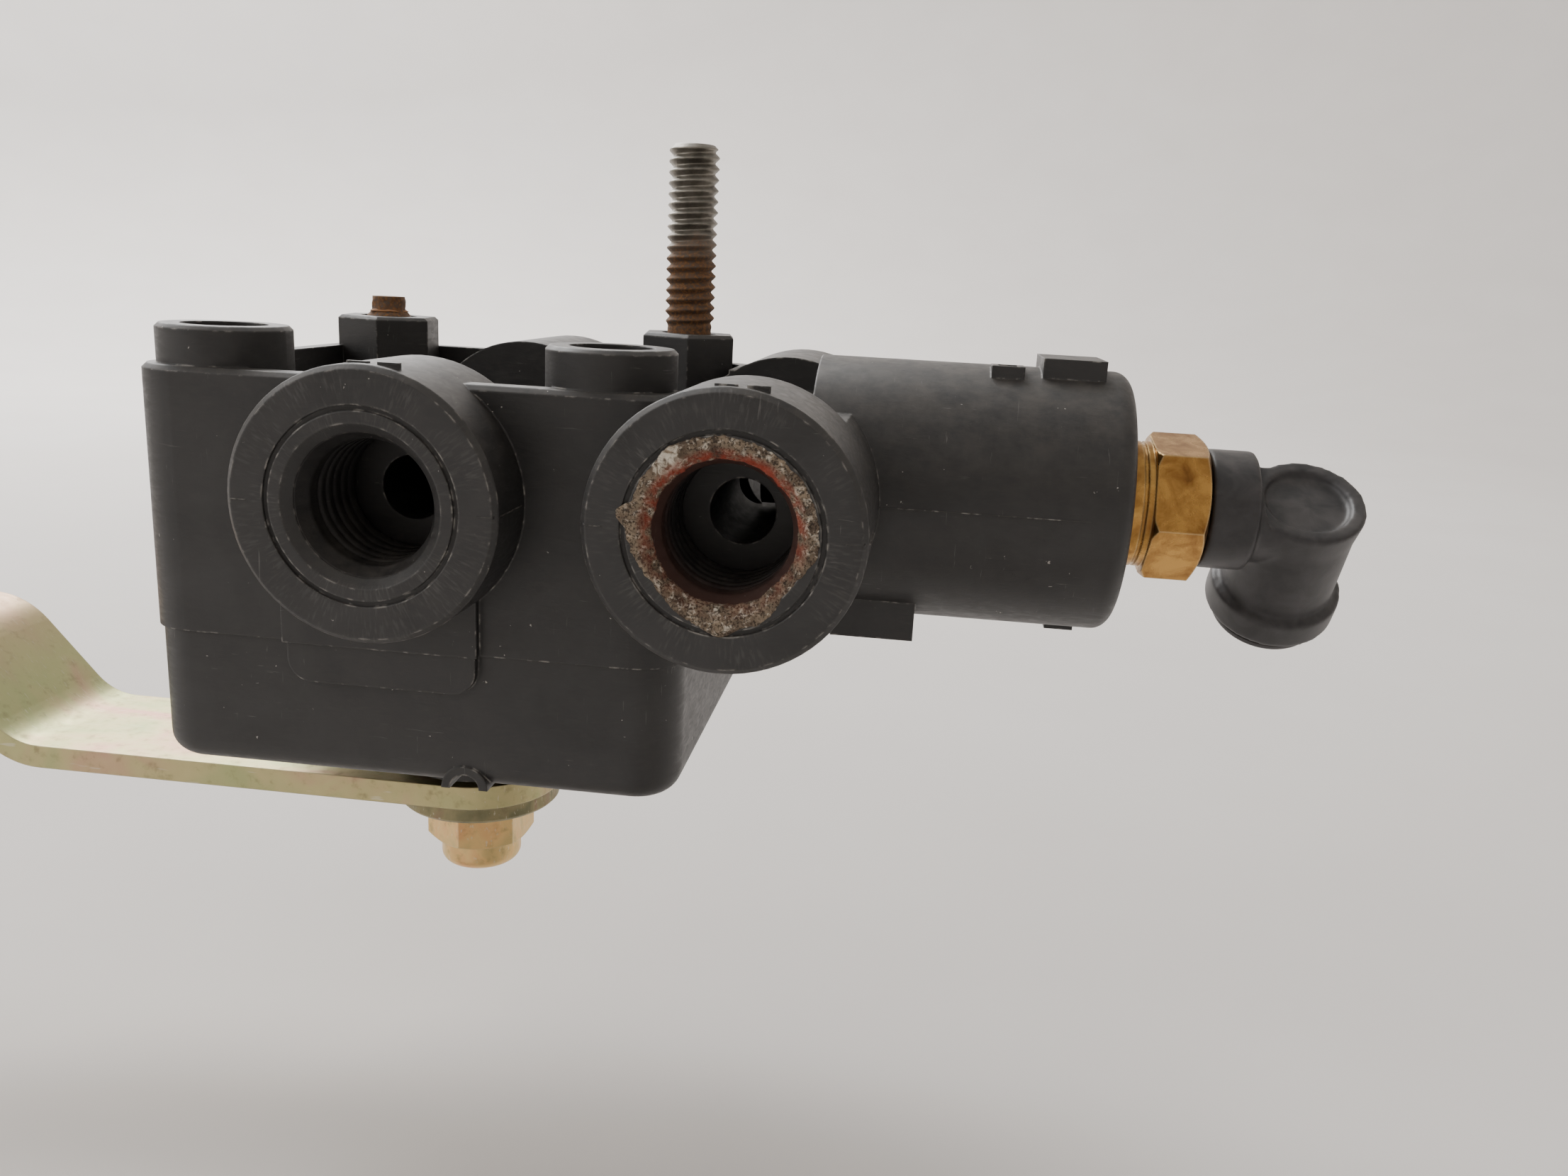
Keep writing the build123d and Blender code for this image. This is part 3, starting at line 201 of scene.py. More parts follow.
# the end cap is welded flush, so its seam shows no wear
cap_low, cap_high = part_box("pilot_end_cap")
cap_thickness = 3.0 * mm
seam_x = cap_high.x - cap_thickness
off_seam = add(nylon, "Math", {0: place["X"], 1: seam_x}, operation="SUBTRACT")
off_seam = add(nylon, "Math", {0: off_seam}, operation="ABSOLUTE")
off_seam = add(nylon, "Math", {0: off_seam, 1: 0.8 * mm}, operation="GREATER_THAN")
edge = add(nylon, "Math", {0: edge, 1: off_seam}, operation="MULTIPLY")
flat = add(nylon, "NewGeometry", output="Normal")
rounded = add(nylon, "MixRGB", {"Fac": off_seam, "Color1": flat, "Color2": rounded})
bruised = add(nylon, "TexNoise", {"Vector": here, "Scale": 1 / (1.1 * mm), "Detail": 4})
bruised = add(nylon, "MapRange", {"Value": bruised, "From Min": 0.52, "From Max": 0.66})
bruised = add(nylon, "Math", {0: edge, 1: bruised}, operation="MULTIPLY")
chips = add(nylon, "TexNoise", {"Vector": here, "Scale": 1 / (0.75 * mm), "Detail": 3, "Roughness": 0.6})
chips = add(nylon, "MapRange", {"Value": chips, "From Min": 0.735, "From Max": 0.76})
# painted top light and real dust: the more a face points up, the paler it is painted, in patches
facing = add(nylon, "NewGeometry", output="Normal")
up = add(nylon, "SeparateXYZ", {"Vector": facing}, output="Z")
level = add(nylon, "MapRange", {"Value": up, "From Min": 0.1, "From Max": 0.9})
dust_and_top_light = add(nylon, "TexNoise", {"Vector": here, "Scale": 1 / (2.5 * mm), "Detail": 6, "Roughness": 0.65})
dust_and_top_light = add(nylon, "MapRange", {"Value": dust_and_top_light, "From Min": 0.3, "From Max": 0.7})
dust_and_top_light = add(nylon, "Math", {0: level, 1: dust_and_top_light}, operation="MULTIPLY")
# a brown film of sealant inside the front right port
inwards = add(nylon, "Math", {0: place["Y"], 1: front_face_y}, operation="SUBTRACT")
in_bore = add(
    nylon,
    "MapRange",
    {"Value": radius, "From Min": 6.9 * mm, "From Max": 7.3 * mm, "To Min": 1.0, "To Max": 0.0},
)
fading = add(
    nylon,
    "MapRange",
    {"Value": inwards, "From Min": 1.0 * mm, "From Max": 6.5 * mm, "To Min": 1.0, "To Max": 0.0},
)
film = add(nylon, "Math", {0: is_right, 1: in_bore}, operation="MULTIPLY")
film = add(nylon, "Math", {0: film, 1: fading}, operation="MULTIPLY")
mottle = add(nylon, "MapRange", {"Value": mottle, "From Min": 0.3, "From Max": 0.7})
flow_marks = add(nylon, "MapRange", {"Value": flow, "From Min": 0.45, "From Max": 0.75, "To Max": 0.35})
tone = add(nylon, "MixRGB", {"Fac": mottle, "Color1": linear("#1c1b1b"), "Color2": linear("#292828")})
tone = add(nylon, "MixRGB", {"Fac": flow_marks, "Color1": tone, "Color2": linear("#383735")})
for mark, strength, colour in (
    (strokes, 0.3, "#6b6967"),
    (dust_and_top_light, 0.32, "#716a62"),
    (film, 0.75, "#4a2d25"),
    (edge, 0.06, "#8b8884"),
    (hairs, 0.22, "#8f8c88"),
    (bruised, 0.62, "#b9b4ac"),
    (chips, 0.7, "#bdb8b0"),
):
    share = add(nylon, "Math", {0: mark, 1: strength}, operation="MULTIPLY")
    tone = add(nylon, "MixRGB", {"Fac": share, "Color1": tone, "Color2": linear(colour)})
skin_relief = add(nylon, "Math", {0: skin, 1: 0.5}, operation="MULTIPLY")
flow_relief = add(nylon, "Math", {0: flow, 1: 1.2}, operation="MULTIPLY")
relief = add(nylon, "Math", {0: skin_relief, 1: flow_relief}, operation="ADD")
relief = add(nylon, "Math", {0: relief, 1: strokes}, operation="ADD")
bumps = add(nylon, "Bump", {"Height": relief, "Strength": 0.35, "Distance": 0.04 * mm, "Normal": rounded})
shader = add(
    nylon,
    "BsdfPrincipled",
    {
        "Base Color": tone,
        "Roughness": add(
            nylon,
            "MapRange",
            {"Value": flow, "From Min": 0.3, "From Max": 0.7, "To Min": 0.42, "To Max": 0.58},
        ),
        "IOR": 1.53,
        "Normal": bumps,
    },
)
add(nylon, "OutputMaterial", {"Surface": shader})
dress(nylon, "upper_housing", "lower_housing", "pilot_end_cap")


# ---------------------------------------------------------------- parting line of the mould
# The housing's mould splits at the height of the port axes. It leaves a hair-thin ridge along
# both sides of each port boss, with a nick where it crosses the face, and along the cylinder.
def new_object(name, mesh, material, body):
    """Puts a finished mesh in the scene, riding on its body."""
    piece = bpy.data.objects.new(name, mesh)
    bpy.context.collection.objects.link(piece)
    mesh.materials.append(material)
    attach(piece, body)
    return piece


def ridge(name, start, end, outward, height=0.14 * mm, foot=0.16 * mm):
    """A straight ridge of triangular section from start to end, tapered off at both ends."""
    side = (end - start).cross(outward).normalized() * foot
    low = -outward * foot
    crest = [start.lerp(end, t) + outward * height for t in (0.08, 0.92)]
    corners = [start + side + low, start - side + low, end - side + low, end + side + low, *crest]
    mesh = bpy.data.meshes.new(name)
    faces = [(0, 1, 2, 3), (1, 0, 4), (3, 2, 5), (0, 3, 5, 4), (2, 1, 4, 5)]
    mesh.from_pydata([tuple(c) for c in corners], [], faces)
    return new_object(name, mesh, nylon, "valve_body")


body_front_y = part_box("lower_housing")[0].y
for port_name, port in (("left", port_left), ("right", port_right)):
    for side_name, side in (("a", -1), ("b", 1)):
        out = Vector((side, 0, 0))
        edge_x = port.x + side * boss_radius
        ridge(
            f"parting_ridge_{port_name}_{side_name}",
            Vector((edge_x, front_face_y + 0.4 * mm, port.z)),
            Vector((edge_x, body_front_y, port.z)),
            out,
        )
        ridge(
            f"parting_nick_{port_name}_{side_name}",
            Vector((edge_x - side * 0.3 * mm, front_face_y, port.z)),
            Vector((edge_x - side * 2.1 * mm, front_face_y, port.z)),
            Vector((0, -1, 0)),
            height=0.10 * mm,
        )
cylinder_radius = (cap_high.z - cap_low.z) / 2
pilot_axis = Vector((0, (front_face_y + rear_face_y) / 2, port_left.z))
for side_name, side in (("front", -1), ("rear", 1)):
    wall_y = pilot_axis.y + side * cylinder_radius
    ridge(
        f"parting_ridge_cylinder_{side_name}",
        Vector((port_right.x + 10 * mm, wall_y, port_left.z)),
        Vector((seam_x, wall_y, port_left.z)),
        Vector((0, side, 0)),
        height=0.10 * mm,
    )


# ---------------------------------------------------------------- pipe threads in the ports
# Four 1/4-18 taper pipe threads, moulded in the nylon: 1.41 mm pitch, worn nearly smooth by the
# fittings, behind a plain tapered lead-in.
def ring_mesh(name, rings, closed=False):
    """A smooth mesh through rings of points; it is capped unless the last ring meets the first."""
    steps = len(rings[0])
    faces = []
    for row in range(len(rings) if closed else len(rings) - 1):
        a = row * steps
        b = (row + 1) % len(rings) * steps
        faces += [(a + i, a + (i + 1) % steps, b + (i + 1) % steps, b + i) for i in range(steps)]
    if not closed:
        last = (len(rings) - 1) * steps
        faces += [tuple(reversed(range(steps))), tuple(range(last, last + steps))]
    mesh = bpy.data.meshes.new(name)
    mesh.from_pydata([tuple(point) for ring in rings for point in ring], [], faces)
    mesh.update()
    shape = bmesh.new()
    shape.from_mesh(mesh)
    bmesh.ops.recalc_face_normals(shape, faces=shape.faces)
    shape.to_mesh(mesh)
    shape.free()
    for face in mesh.polygons:
        face.use_smooth = True
    return mesh


def spaced(low, high, step):
    """Evenly spaced values from low to high, about `step` apart."""
    count = max(1, round((high - low) / step))
    return [low + (high - low) * i / count for i in range(count + 1)]


def turned(steps=96):
    return [math.tau * i / steps for i in range(steps)]


def port_thread(name, port, face_y, inward):
    pitch = 25.4 / 18 * mm
    root = port["dims"]["r_mm"] * mm
    crest = 5.95 * mm
    groove = 0.34 * mm
    start, end = 0.95 * mm, 11.2 * mm
    first_thread = 3 * mm
    lead_in_length = 1.6 * mm
    taper = 1 / 32

    def wall(angle, depth):
        phase = (depth / pitch - inward * angle / math.tau) % 1
        cut = max(0.0, 1 - abs(2 * phase - 1) / 0.5) * min(1, max(0, (depth - first_thread) / pitch))
        lead_in = min(1, (depth - start) / lead_in_length)
        return root + 0.03 * mm - lead_in * (root - crest + depth * taper) + cut * groove

    def ring(depth, radius_at):
        return [
            (
                port["pos_m"][0] + radius_at(a, depth) * math.cos(a),
                face_y + inward * depth,
                port["pos_m"][2] + radius_at(a, depth) * math.sin(a),
            )
            for a in turned()
        ]

    rings = [ring(depth, wall) for depth in spaced(start, end, pitch / 10)]
    rings += [ring(depth, lambda a, depth: root + 0.2 * mm) for depth in (end, start)]
    return new_object(name, ring_mesh(name, rings, closed=True), nylon, "valve_body")


for row_name, face_y, inward in (("front", front_face_y, 1), ("rear", rear_face_y, -1)):
    for side_name in ("left", "right"):
        mount_name = f"port_{row_name}_{side_name}"
        port_thread(f"{mount_name}_thread", mounts[mount_name], face_y, inward)


# ---------------------------------------------------------------- old sealant
# Dried thread sealant squeezed out of the front right port when its fitting was unscrewed: a
# crusty tan and off-white ring with dark grit, stained red-orange at the mouth's upper edge.
def bump_at(point, size):
    """Smooth noise from -1 to 1 whose lumps are about `size` metres across."""
    return noise.noise(point / size)


def hump(degrees, low, high):
    """0 outside low..high degrees and a smooth hump between them."""
    if not low < degrees < high:
        return 0.0
    return math.sin(math.pi * (degrees - low) / (high - low)) ** 2


def crust_shape(degrees):
    """Outer radius, run down the wall and thickness of the crust, by the angle round the port."""
    reach = 8.5 + 0.15 * hump(degrees, 60, 180) - 0.75 * hump(degrees, 183, 258)
    reach += 0.7 * hump(degrees, 255, 285) - 0.95 * hump(degrees, 292, 356)
    reach += 1.1 * hump(degrees, 162, 182) + 0.2 * hump(degrees, 110, 140)
    wall_run = 0.8 + 1.3 * hump(degrees, 300, 342)
    thick = 0.72 + 0.5 * hump(degrees, 105, 150) + 0.3 * hump(degrees, 300, 342)
    thick -= 0.3 * hump(degrees, 330, 360) + 0.3 * hump(degrees, 0, 50)
    return reach * mm, wall_run * mm, thick


crust_rows = 30
crust_depth = front_face_y - cad_box[0][1]
mouth = 7.55 * mm
bore = 6.62 * mm
lip_run = (mouth - bore) * math.sqrt(2)
crust_rings = []
for turn in turned(480):
    reach, wall_run, thick = crust_shape(math.degrees(turn))
    around = Vector((math.cos(turn), 0, math.sin(turn)))
    reach += 0.2 * mm * bump_at(around * 9 * mm, 1.1 * mm) + 0.1 * mm * bump_at(around * 9 * mm, 0.4 * mm)
    flat_run = reach - mouth
    ring = []
    for row in range(crust_rows + 1):
        along = row / crust_rows * (flat_run + lip_run + wall_run)
        if along < flat_run:
            r, y, lift = reach - along, front_face_y, Vector((0, -1, 0))
        elif along < flat_run + lip_run:
            k = (along - flat_run) / math.sqrt(2)
            r, y = mouth - k, front_face_y + k
            lift = (-around - Vector((0, 1, 0))).normalized()
        else:
            r, y, lift = bore, front_face_y + (mouth - bore) + along - flat_run - lip_run, -around
        base = Vector((port_right.x, y, port_right.z)) + around * r
        lumps = 0.62 + 0.5 * bump_at(base, 1.1 * mm) + 0.34 * bump_at(base, 0.42 * mm)
        lumps += 0.24 * bump_at(base, 0.19 * mm)
        cover = math.sin(math.pi * row / crust_rows) ** 0.3
        height = crust_depth * (cover * thick * max(0.15, lumps) * 1.2 - 0.05)
        if row in (0, crust_rows):
            height = -0.06 * mm
        ring.append(base + lift * min(0.97 * crust_depth, height))
    ring.append(Vector((port_right.x, front_face_y + 0.75 * mm, port_right.z)) + around * (mouth + 0.5 * mm))
    crust_rings.append(ring)
crust_mesh = ring_mesh("sealant_crust", crust_rings, closed=True)

paste, here = new_material("dried_pipe_sealant")
place = add(paste, "SeparateXYZ", {"Vector": here}).node.outputs
across = add(paste, "Math", {0: place["X"], 1: port_right.x}, operation="SUBTRACT")
upward = add(paste, "Math", {0: place["Z"], 1: port_right.z}, operation="SUBTRACT")
across_squared = add(paste, "Math", {0: across, 1: across}, operation="MULTIPLY")
upward_squared = add(paste, "Math", {0: upward, 1: upward}, operation="MULTIPLY")
radius = add(paste, "Math", {0: across_squared, 1: upward_squared}, operation="ADD")
radius = add(paste, "Math", {0: radius}, operation="SQRT")
speck = add(paste, "TexNoise", {"Vector": here, "Scale": 1 / (0.24 * mm), "Detail": 4, "Roughness": 0.65})
patch = add(paste, "TexNoise", {"Vector": here, "Scale": 1 / (1.5 * mm), "Detail": 4, "Roughness": 0.6})
chalk = add(
    paste,
    "TexNoise",
    {
        "Vector": add(
            paste, "Mapping", {"Vector": here, "Scale": (1, 1, 1), "Rotation": in_radians(30, 0, 60)}
        ),
        "Scale": 1 / (0.7 * mm),
        "Detail": 5,
        "Roughness": 0.6,
        "Distortion": 0.8,
    },
)
blob_at = (port_right.x - 5.1 * mm, front_face_y, port_right.z + 6.3 * mm)
blob = add(paste, "VectorMath", {0: here, 1: blob_at}, output="Value", operation="DISTANCE")
blob = add(
    paste,
    "MapRange",
    {"Value": blob, "From Min": 0.6 * mm, "From Max": 2.4 * mm, "To Min": 0.16, "To Max": 0.0},
)
patch = add(paste, "MapRange", {"Value": patch, "From Min": 0.35, "From Max": 0.65})
tone = add(paste, "MixRGB", {"Fac": patch, "Color1": linear("#54463a"), "Color2": linear("#8e7e6a")})
pale = add(paste, "Math", {0: chalk, 1: blob}, operation="ADD")
pale = add(paste, "MapRange", {"Value": pale, "From Min": 0.53, "From Max": 0.7})
tone = add(paste, "MixRGB", {"Fac": pale, "Color1": tone, "Color2": linear("#cfc6b6")})
pitted = add(paste, "Math", {0: speck, 1: blob}, operation="SUBTRACT")
pitted = add(paste, "MapRange", {"Value": pitted, "From Min": 0.49, "From Max": 0.58, "To Max": 0.85})
tone = add(paste, "MixRGB", {"Fac": pitted, "Color1": tone, "Color2": linear("#2b231d")})
stained = add(paste, "TexNoise", {"Vector": here, "Scale": 1 / (1.3 * mm), "Detail": 4})
stained = add(paste, "MapRange", {"Value": stained, "From Min": 0.36, "From Max": 0.54})
at_bore = add(
    paste,
    "MapRange",
    {"Value": radius, "From Min": 6.9 * mm, "From Max": 7.7 * mm, "To Min": 1.0, "To Max": 0.0},
)
stained = add(paste, "Math", {0: stained, 1: at_bore}, operation="MULTIPLY")
at_top = add(paste, "MapRange", {"Value": upward, "From Min": -5 * mm, "From Max": 4 * mm, "To Min": 0.2})
stained = add(paste, "Math", {0: stained, 1: at_top}, operation="MULTIPLY")
stained = add(paste, "Math", {0: stained, 1: 0.9}, operation="MULTIPLY")
tone = add(paste, "MixRGB", {"Fac": stained, "Color1": tone, "Color2": linear("#8d3826")})
pits = add(
    paste,
    "Bump",
    {
        "Height": add(paste, "Math", {0: speck, 1: chalk}, operation="ADD"),
        "Strength": 0.9,
        "Distance": 0.12 * mm,
    },
)
shader = add(paste, "BsdfPrincipled", {"Base Color": tone, "Roughness": 0.86, "IOR": 1.45, "Normal": pits})
add(paste, "OutputMaterial", {"Surface": shader})
crust = new_object("sealant_crust", crust_mesh, paste, "valve_body")
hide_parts("thread_sealant")


# ---------------------------------------------------------------- rear studs
# Two 1/4-20 hexagon bolts of zinc-plated steel pass up through the housings. The right one still
# stands, dull grey above and rusty below; the left one has snapped and left a ragged stump.
def lathed(name, heights, radius_at, centre, steps=72):
    """A capped body about a vertical axis; its radius may change with the angle and height."""
    rings = [
        [
            (
                centre.x + radius_at(a, height) * math.cos(a),
                centre.y + radius_at(a, height) * math.sin(a),
                height,
            )
            for a in turned(steps)
        ]
        for height in heights
    ]
    return ring_mesh(name, rings)


def joined(first, *others):
    """Adds the faces of other meshes to the first."""
    shape = bmesh.new()
    for mesh in (first, *others):
        shape.from_mesh(mesh)
    shape.to_mesh(first)
    shape.free()
    return first


def hexagon_radius(angle, flat_to_centre):
    sixth = math.tau / 6
    return flat_to_centre / math.cos((angle + sixth / 2) % sixth - sixth / 2)


stud_axis = Vector(mounts["rear_stud"]["pos_m"])
stud_radius = mounts["rear_stud"]["dims"]["r_mm"] * mm - 0.1 * mm
stud_low, stud_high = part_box("mounting_stud_long")
head_height = 4.0 * mm
head_across_flats = 11.11 * mm
head_top = stud_low.z + head_height
thread_start = 0.5 * mm
stud_pitch = 25.4 / 20 * mm
shank = 2.72 * mm
thread_depth = 0.5 * mm


def thread_radius(angle, height):
    """Rolled 60 degree thread with narrow flats at crest and root."""
    phase = (height / stud_pitch - angle / math.tau) % 1
    return stud_radius - thread_depth * max(0, min(1, 1.28 * abs(2 * phase - 1) - 0.14))


def long_radius(angle, height):
    ragged = 1 + 0.012 * bump_at(Vector((math.cos(angle), math.sin(angle), height / mm)), 0.6)
    end_chamfer = stud_radius - 0.62 * mm + (stud_high.z - height)
    run_out = max(0, min(1, (height - thread_start) / stud_pitch))
    return min(shank + (thread_radius(angle, height) * ragged - shank) * run_out, end_chamfer)


def stump_radius(angle, height):
    worn = 0.16 * mm * bump_at(Vector((2 * math.cos(angle), 2 * math.sin(angle), height / mm)), 0.7)
    neck = max(0, min(1, height / (0.8 * mm)))
    return shank - 0.7 * mm * neck + worn * neck


def head_radius(angle, height):
    chamfer = 5.75 * mm + (height - stud_low.z) * 1.6
    return min(hexagon_radius(angle, head_across_flats / 2), chamfer)


studs = {
    "mounting_stud_long": (stud_axis, spaced(head_top, 0, 4 * mm), long_radius),
    "mounting_stud_broken": (
        Vector((-stud_axis.x, stud_axis.y, 0)),
        spaced(head_top, 0, 4 * mm),
        stump_radius,
    ),
}
steel, here = new_material("zinc_plated_steel_rusted")
height = add(steel, "SeparateXYZ", {"Vector": here}, output="Z")
blotch = add(steel, "TexNoise", {"Vector": here, "Scale": 1 / (2.4 * mm), "Detail": 5, "Roughness": 0.6})
fine = add(steel, "TexNoise", {"Vector": here, "Scale": 1 / (0.35 * mm), "Detail": 4, "Roughness": 0.6})
ragged_line = add(steel, "Math", {0: blotch, 1: -6 * mm}, operation="MULTIPLY")
rust_line = add(steel, "Math", {0: height, 1: ragged_line}, operation="ADD")
rust = add(
    steel,
    "MapRange",
    {"Value": rust_line, "From Min": 5.5 * mm, "From Max": 9.5 * mm, "To Min": 1.0, "To Max": 0.0},
)
rust_specks = add(steel, "MapRange", {"Value": fine, "From Min": 0.25, "From Max": 0.55, "To Min": 0.55})
rust = add(steel, "Math", {0: rust, 1: rust_specks}, operation="MULTIPLY")
dulled = add(steel, "MapRange", {"Value": blotch, "From Min": 0.35, "From Max": 0.65})
zinc_tone = add(steel, "MixRGB", {"Fac": dulled, "Color1": linear("#6a665e"), "Color2": linear("#969188")})
flaked = add(steel, "MapRange", {"Value": fine, "From Min": 0.35, "From Max": 0.65})
rust_tone = add(steel, "MixRGB", {"Fac": flaked, "Color1": linear("#3a271b"), "Color2": linear("#8a6340")})
rust_bumps = add(steel, "Bump", {"Height": fine, "Strength": 0.5, "Distance": 0.06 * mm})
shader = add(
    steel,
    "BsdfPrincipled",
    {
        "Base Color": add(steel, "MixRGB", {"Fac": rust, "Color1": zinc_tone, "Color2": rust_tone}),
        "Metallic": add(
            steel,
            "MapRange",
            {"Value": rust, "From Min": 0.0, "From Max": 1.0, "To Min": 0.85, "To Max": 0.15},
        ),
        "Roughness": add(
            steel,
            "MapRange",
            {"Value": rust, "From Min": 0.0, "From Max": 1.0, "To Min": 0.42, "To Max": 0.8},
        ),
        "Normal": rust_bumps,
    },
)
add(steel, "OutputMaterial", {"Surface": shader})
for stud_name, (axis, shank_heights, radius_at) in studs.items():
    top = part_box(stud_name)[1].z
    heights = shank_heights[:-1] + spaced(0, top, stud_pitch / 12)
    rod = lathed(stud_name + "_rod", heights, radius_at, axis)
    head = lathed(stud_name + "_head", spaced(stud_low.z, head_top, 0.25 * mm), head_radius, axis)
    whole = new_object(
        stud_name.replace("mounting_", "threaded_"), joined(rod, head), steel, "valve_body"
    )
    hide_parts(stud_name)

# the break itself: a ragged cone of torn metal under caked dirt, paler than the rust
stump_axis = studs["mounting_stud_broken"][0]
stump_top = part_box("mounting_stud_broken")[1].z
torn_start = 0.55 * mm


def torn_radius(angle, height):
    rise = (height - torn_start) / (stump_top - torn_start)
    lean = 0.25 * mm * math.cos(angle - 2.4)
    rough = 0.3 * mm * bump_at(Vector((math.cos(angle), math.sin(angle), 2.5 * height / mm)), 0.6)
    return 2.3 * mm - 0.55 * mm * min(1, 4 * rise) + lean * rise + rough


stump, here = new_material("torn_steel_and_dirt")
blotch = add(stump, "TexNoise", {"Vector": here, "Scale": 1 / (0.9 * mm), "Detail": 5, "Roughness": 0.6})
height = add(stump, "SeparateXYZ", {"Vector": here}, output="Z")
caked = add(stump, "MapRange", {"Value": blotch, "From Min": 0.4, "From Max": 0.62})
tone = add(stump, "MixRGB", {"Fac": caked, "Color1": linear("#85796b"), "Color2": linear("#cfc4b2")})
rusty_foot = add(
    stump,
    "MapRange",
    {"Value": height, "From Min": 0.8 * mm, "From Max": 1.1 * mm, "To Min": 0.9, "To Max": 0.0},
)
tone = add(stump, "MixRGB", {"Fac": rusty_foot, "Color1": tone, "Color2": linear("#93602f")})
crumbs = add(stump, "Bump", {"Height": blotch, "Strength": 0.8, "Distance": 0.15 * mm})
shader = add(stump, "BsdfPrincipled", {"Base Color": tone, "Roughness": 0.75, "Normal": crumbs})
add(stump, "OutputMaterial", {"Surface": shader})
torn_heights = spaced(torn_start, stump_top - 0.02 * mm, 0.12 * mm)
torn_mesh = lathed("stump_break", torn_heights, torn_radius, stump_axis)
new_object("stump_break", torn_mesh, stump, "valve_body")


# ---------------------------------------------------------------- lever, washer and lock nut
# Low-carbon steel, blanked and pressed, then zinc plated and yellow passivated. The passivate
# film is iridescent: straw yellow, drifting to green and pink, with scratches and dull patches.
def passivated(name, straw, green, pink, roughness, spread, bands=False):
    """Yellow-passivated zinc in three drifting tints."""
    plate, here = new_material(name)
    drawn_out = add(
        plate, "Mapping", {"Vector": here, "Scale": (1, 2.2, 1), "Rotation": in_radians(0, 0, 25)}
    )
    drift = add(
        plate,
        "TexNoise",
        {"Vector": drawn_out, "Scale": 1 / spread, "Detail": 3, "Roughness": 0.55, "Distortion": 0.7},
    )
    to_straw = add(plate, "MapRange", {"Value": drift, "From Min": 0.34, "From Max": 0.5})
    to_pink = add(plate, "MapRange", {"Value": drift, "From Min": 0.52, "From Max": 0.68})
    tint = add(plate, "MixRGB", {"Fac": to_straw, "Color1": linear(green), "Color2": linear(straw)})
    tint = add(plate, "MixRGB", {"Fac": to_pink, "Color1": tint, "Color2": linear(pink)})
    if bands:
        # the film is thinner up the slope, where it turns from green at the bend to pink
        x = add(plate, "SeparateXYZ", {"Vector": here}, output="X")
        wander = add(plate, "Math", {0: drift, 1: 14 * mm}, operation="MULTIPLY")
        x = add(plate, "Math", {0: x, 1: wander}, operation="ADD")
        bend_green = add(
            plate, "MapRange", {"Value": x, "From Min": -40 * mm, "From Max": -52 * mm, "To Max": 0.6}
        )
        slope_pink = add(
            plate, "MapRange", {"Value": x, "From Min": -54 * mm, "From Max": -62 * mm, "To Max": 0.7}
        )
        tint = add(plate, "MixRGB", {"Fac": bend_green, "Color1": tint, "Color2": linear(green)})
        tint = add(plate, "MixRGB", {"Fac": slope_pink, "Color1": tint, "Color2": linear(pink)})
    dull = add(plate, "TexNoise", {"Vector": here, "Scale": 1 / (1.4 * mm), "Detail": 6, "Roughness": 0.62})
    dulled = add(plate, "MapRange", {"Value": dull, "From Min": 0.55, "From Max": 0.75, "To Max": 0.45})
    tint = add(plate, "MixRGB", {"Fac": dulled, "Color1": tint, "Color2": linear("#6f6650")})
    along_scratch = add(
        plate, "Mapping", {"Vector": here, "Scale": (1, 30, 6), "Rotation": in_radians(0, 0, 12)}
    )
    scratch = add(plate, "TexNoise", {"Vector": along_scratch, "Scale": 1 / (5 * mm), "Detail": 3})
    scored = add(plate, "MapRange", {"Value": scratch, "From Min": 0.64, "From Max": 0.7, "To Max": 0.4})
    tint = add(plate, "MixRGB", {"Fac": scored, "Color1": tint, "Color2": linear("#d9d3bf")})
    edge, rounded = worn_edges(plate, 0.25 * mm)
    polished = add(plate, "Math", {0: edge, 1: 0.45}, operation="MULTIPLY")
    tint = add(plate, "MixRGB", {"Fac": polished, "Color1": tint, "Color2": linear("#e4dcb8")})
    dents = add(
        plate,
        "Bump",
        {
            "Height": add(plate, "Math", {0: dull, 1: drift}, operation="ADD"),
            "Strength": 0.25,
            "Distance": 0.08 * mm,
            "Normal": rounded,
        },
    )
    shader = add(
        plate,
        "BsdfPrincipled",
        {
            "Base Color": tint,
            "Metallic": 0.88,
            "Roughness": add(
                plate,
                "MapRange",
                {
                    "Value": dull,
                    "From Min": 0.3,
                    "From Max": 0.7,
                    "To Min": roughness - 0.06,
                    "To Max": roughness + 0.12,
                },
            ),
            "Normal": dents,
        },
    )
    add(plate, "OutputMaterial", {"Surface": shader})
    return plate


lever_plate = passivated(
    "zinc_yellow_passivated", "#bdb284", "#a9ad7c", "#c59a86", 0.42, 14 * mm, bands=True
)
dress(lever_plate, "lever")
dress(passivated("zinc_olive_passivated", "#8e8666", "#77745a", "#8c7862", 0.45, 5 * mm), "lever_washer")
dress(passivated("zinc_gold_passivated", "#e0bd80", "#cdb47c", "#dcab76", 0.34, 5 * mm), "lever_nut")


# ---------------------------------------------------------------- brass adapter
# Free-cutting brass, turned from hexagon bar: fine tool marks round the collar and the faces,
# brown tarnish in the corners and brighter metal where a spanner has gripped it.
brass, here = new_material("turned_brass")
rings = add(
    brass,
    "TexWave",
    {"Vector": here, "Scale": 1 / (0.9 * mm), "Distortion": 0.6, "Detail": 2.0},
    output="Fac",
    bands_direction="X",
)
stain = add(
    brass,
    "TexNoise",
    {"Vector": here, "Scale": 1 / (2.6 * mm), "Detail": 5, "Roughness": 0.6, "Distortion": 0.5},
)
edge, rounded = worn_edges(brass, 0.3 * mm)
tarnish = add(brass, "MapRange", {"Value": stain, "From Min": 0.36, "From Max": 0.62})
tone = add(brass, "MixRGB", {"Fac": tarnish, "Color1": linear("#c79a56"), "Color2": linear("#9a6f3c")})
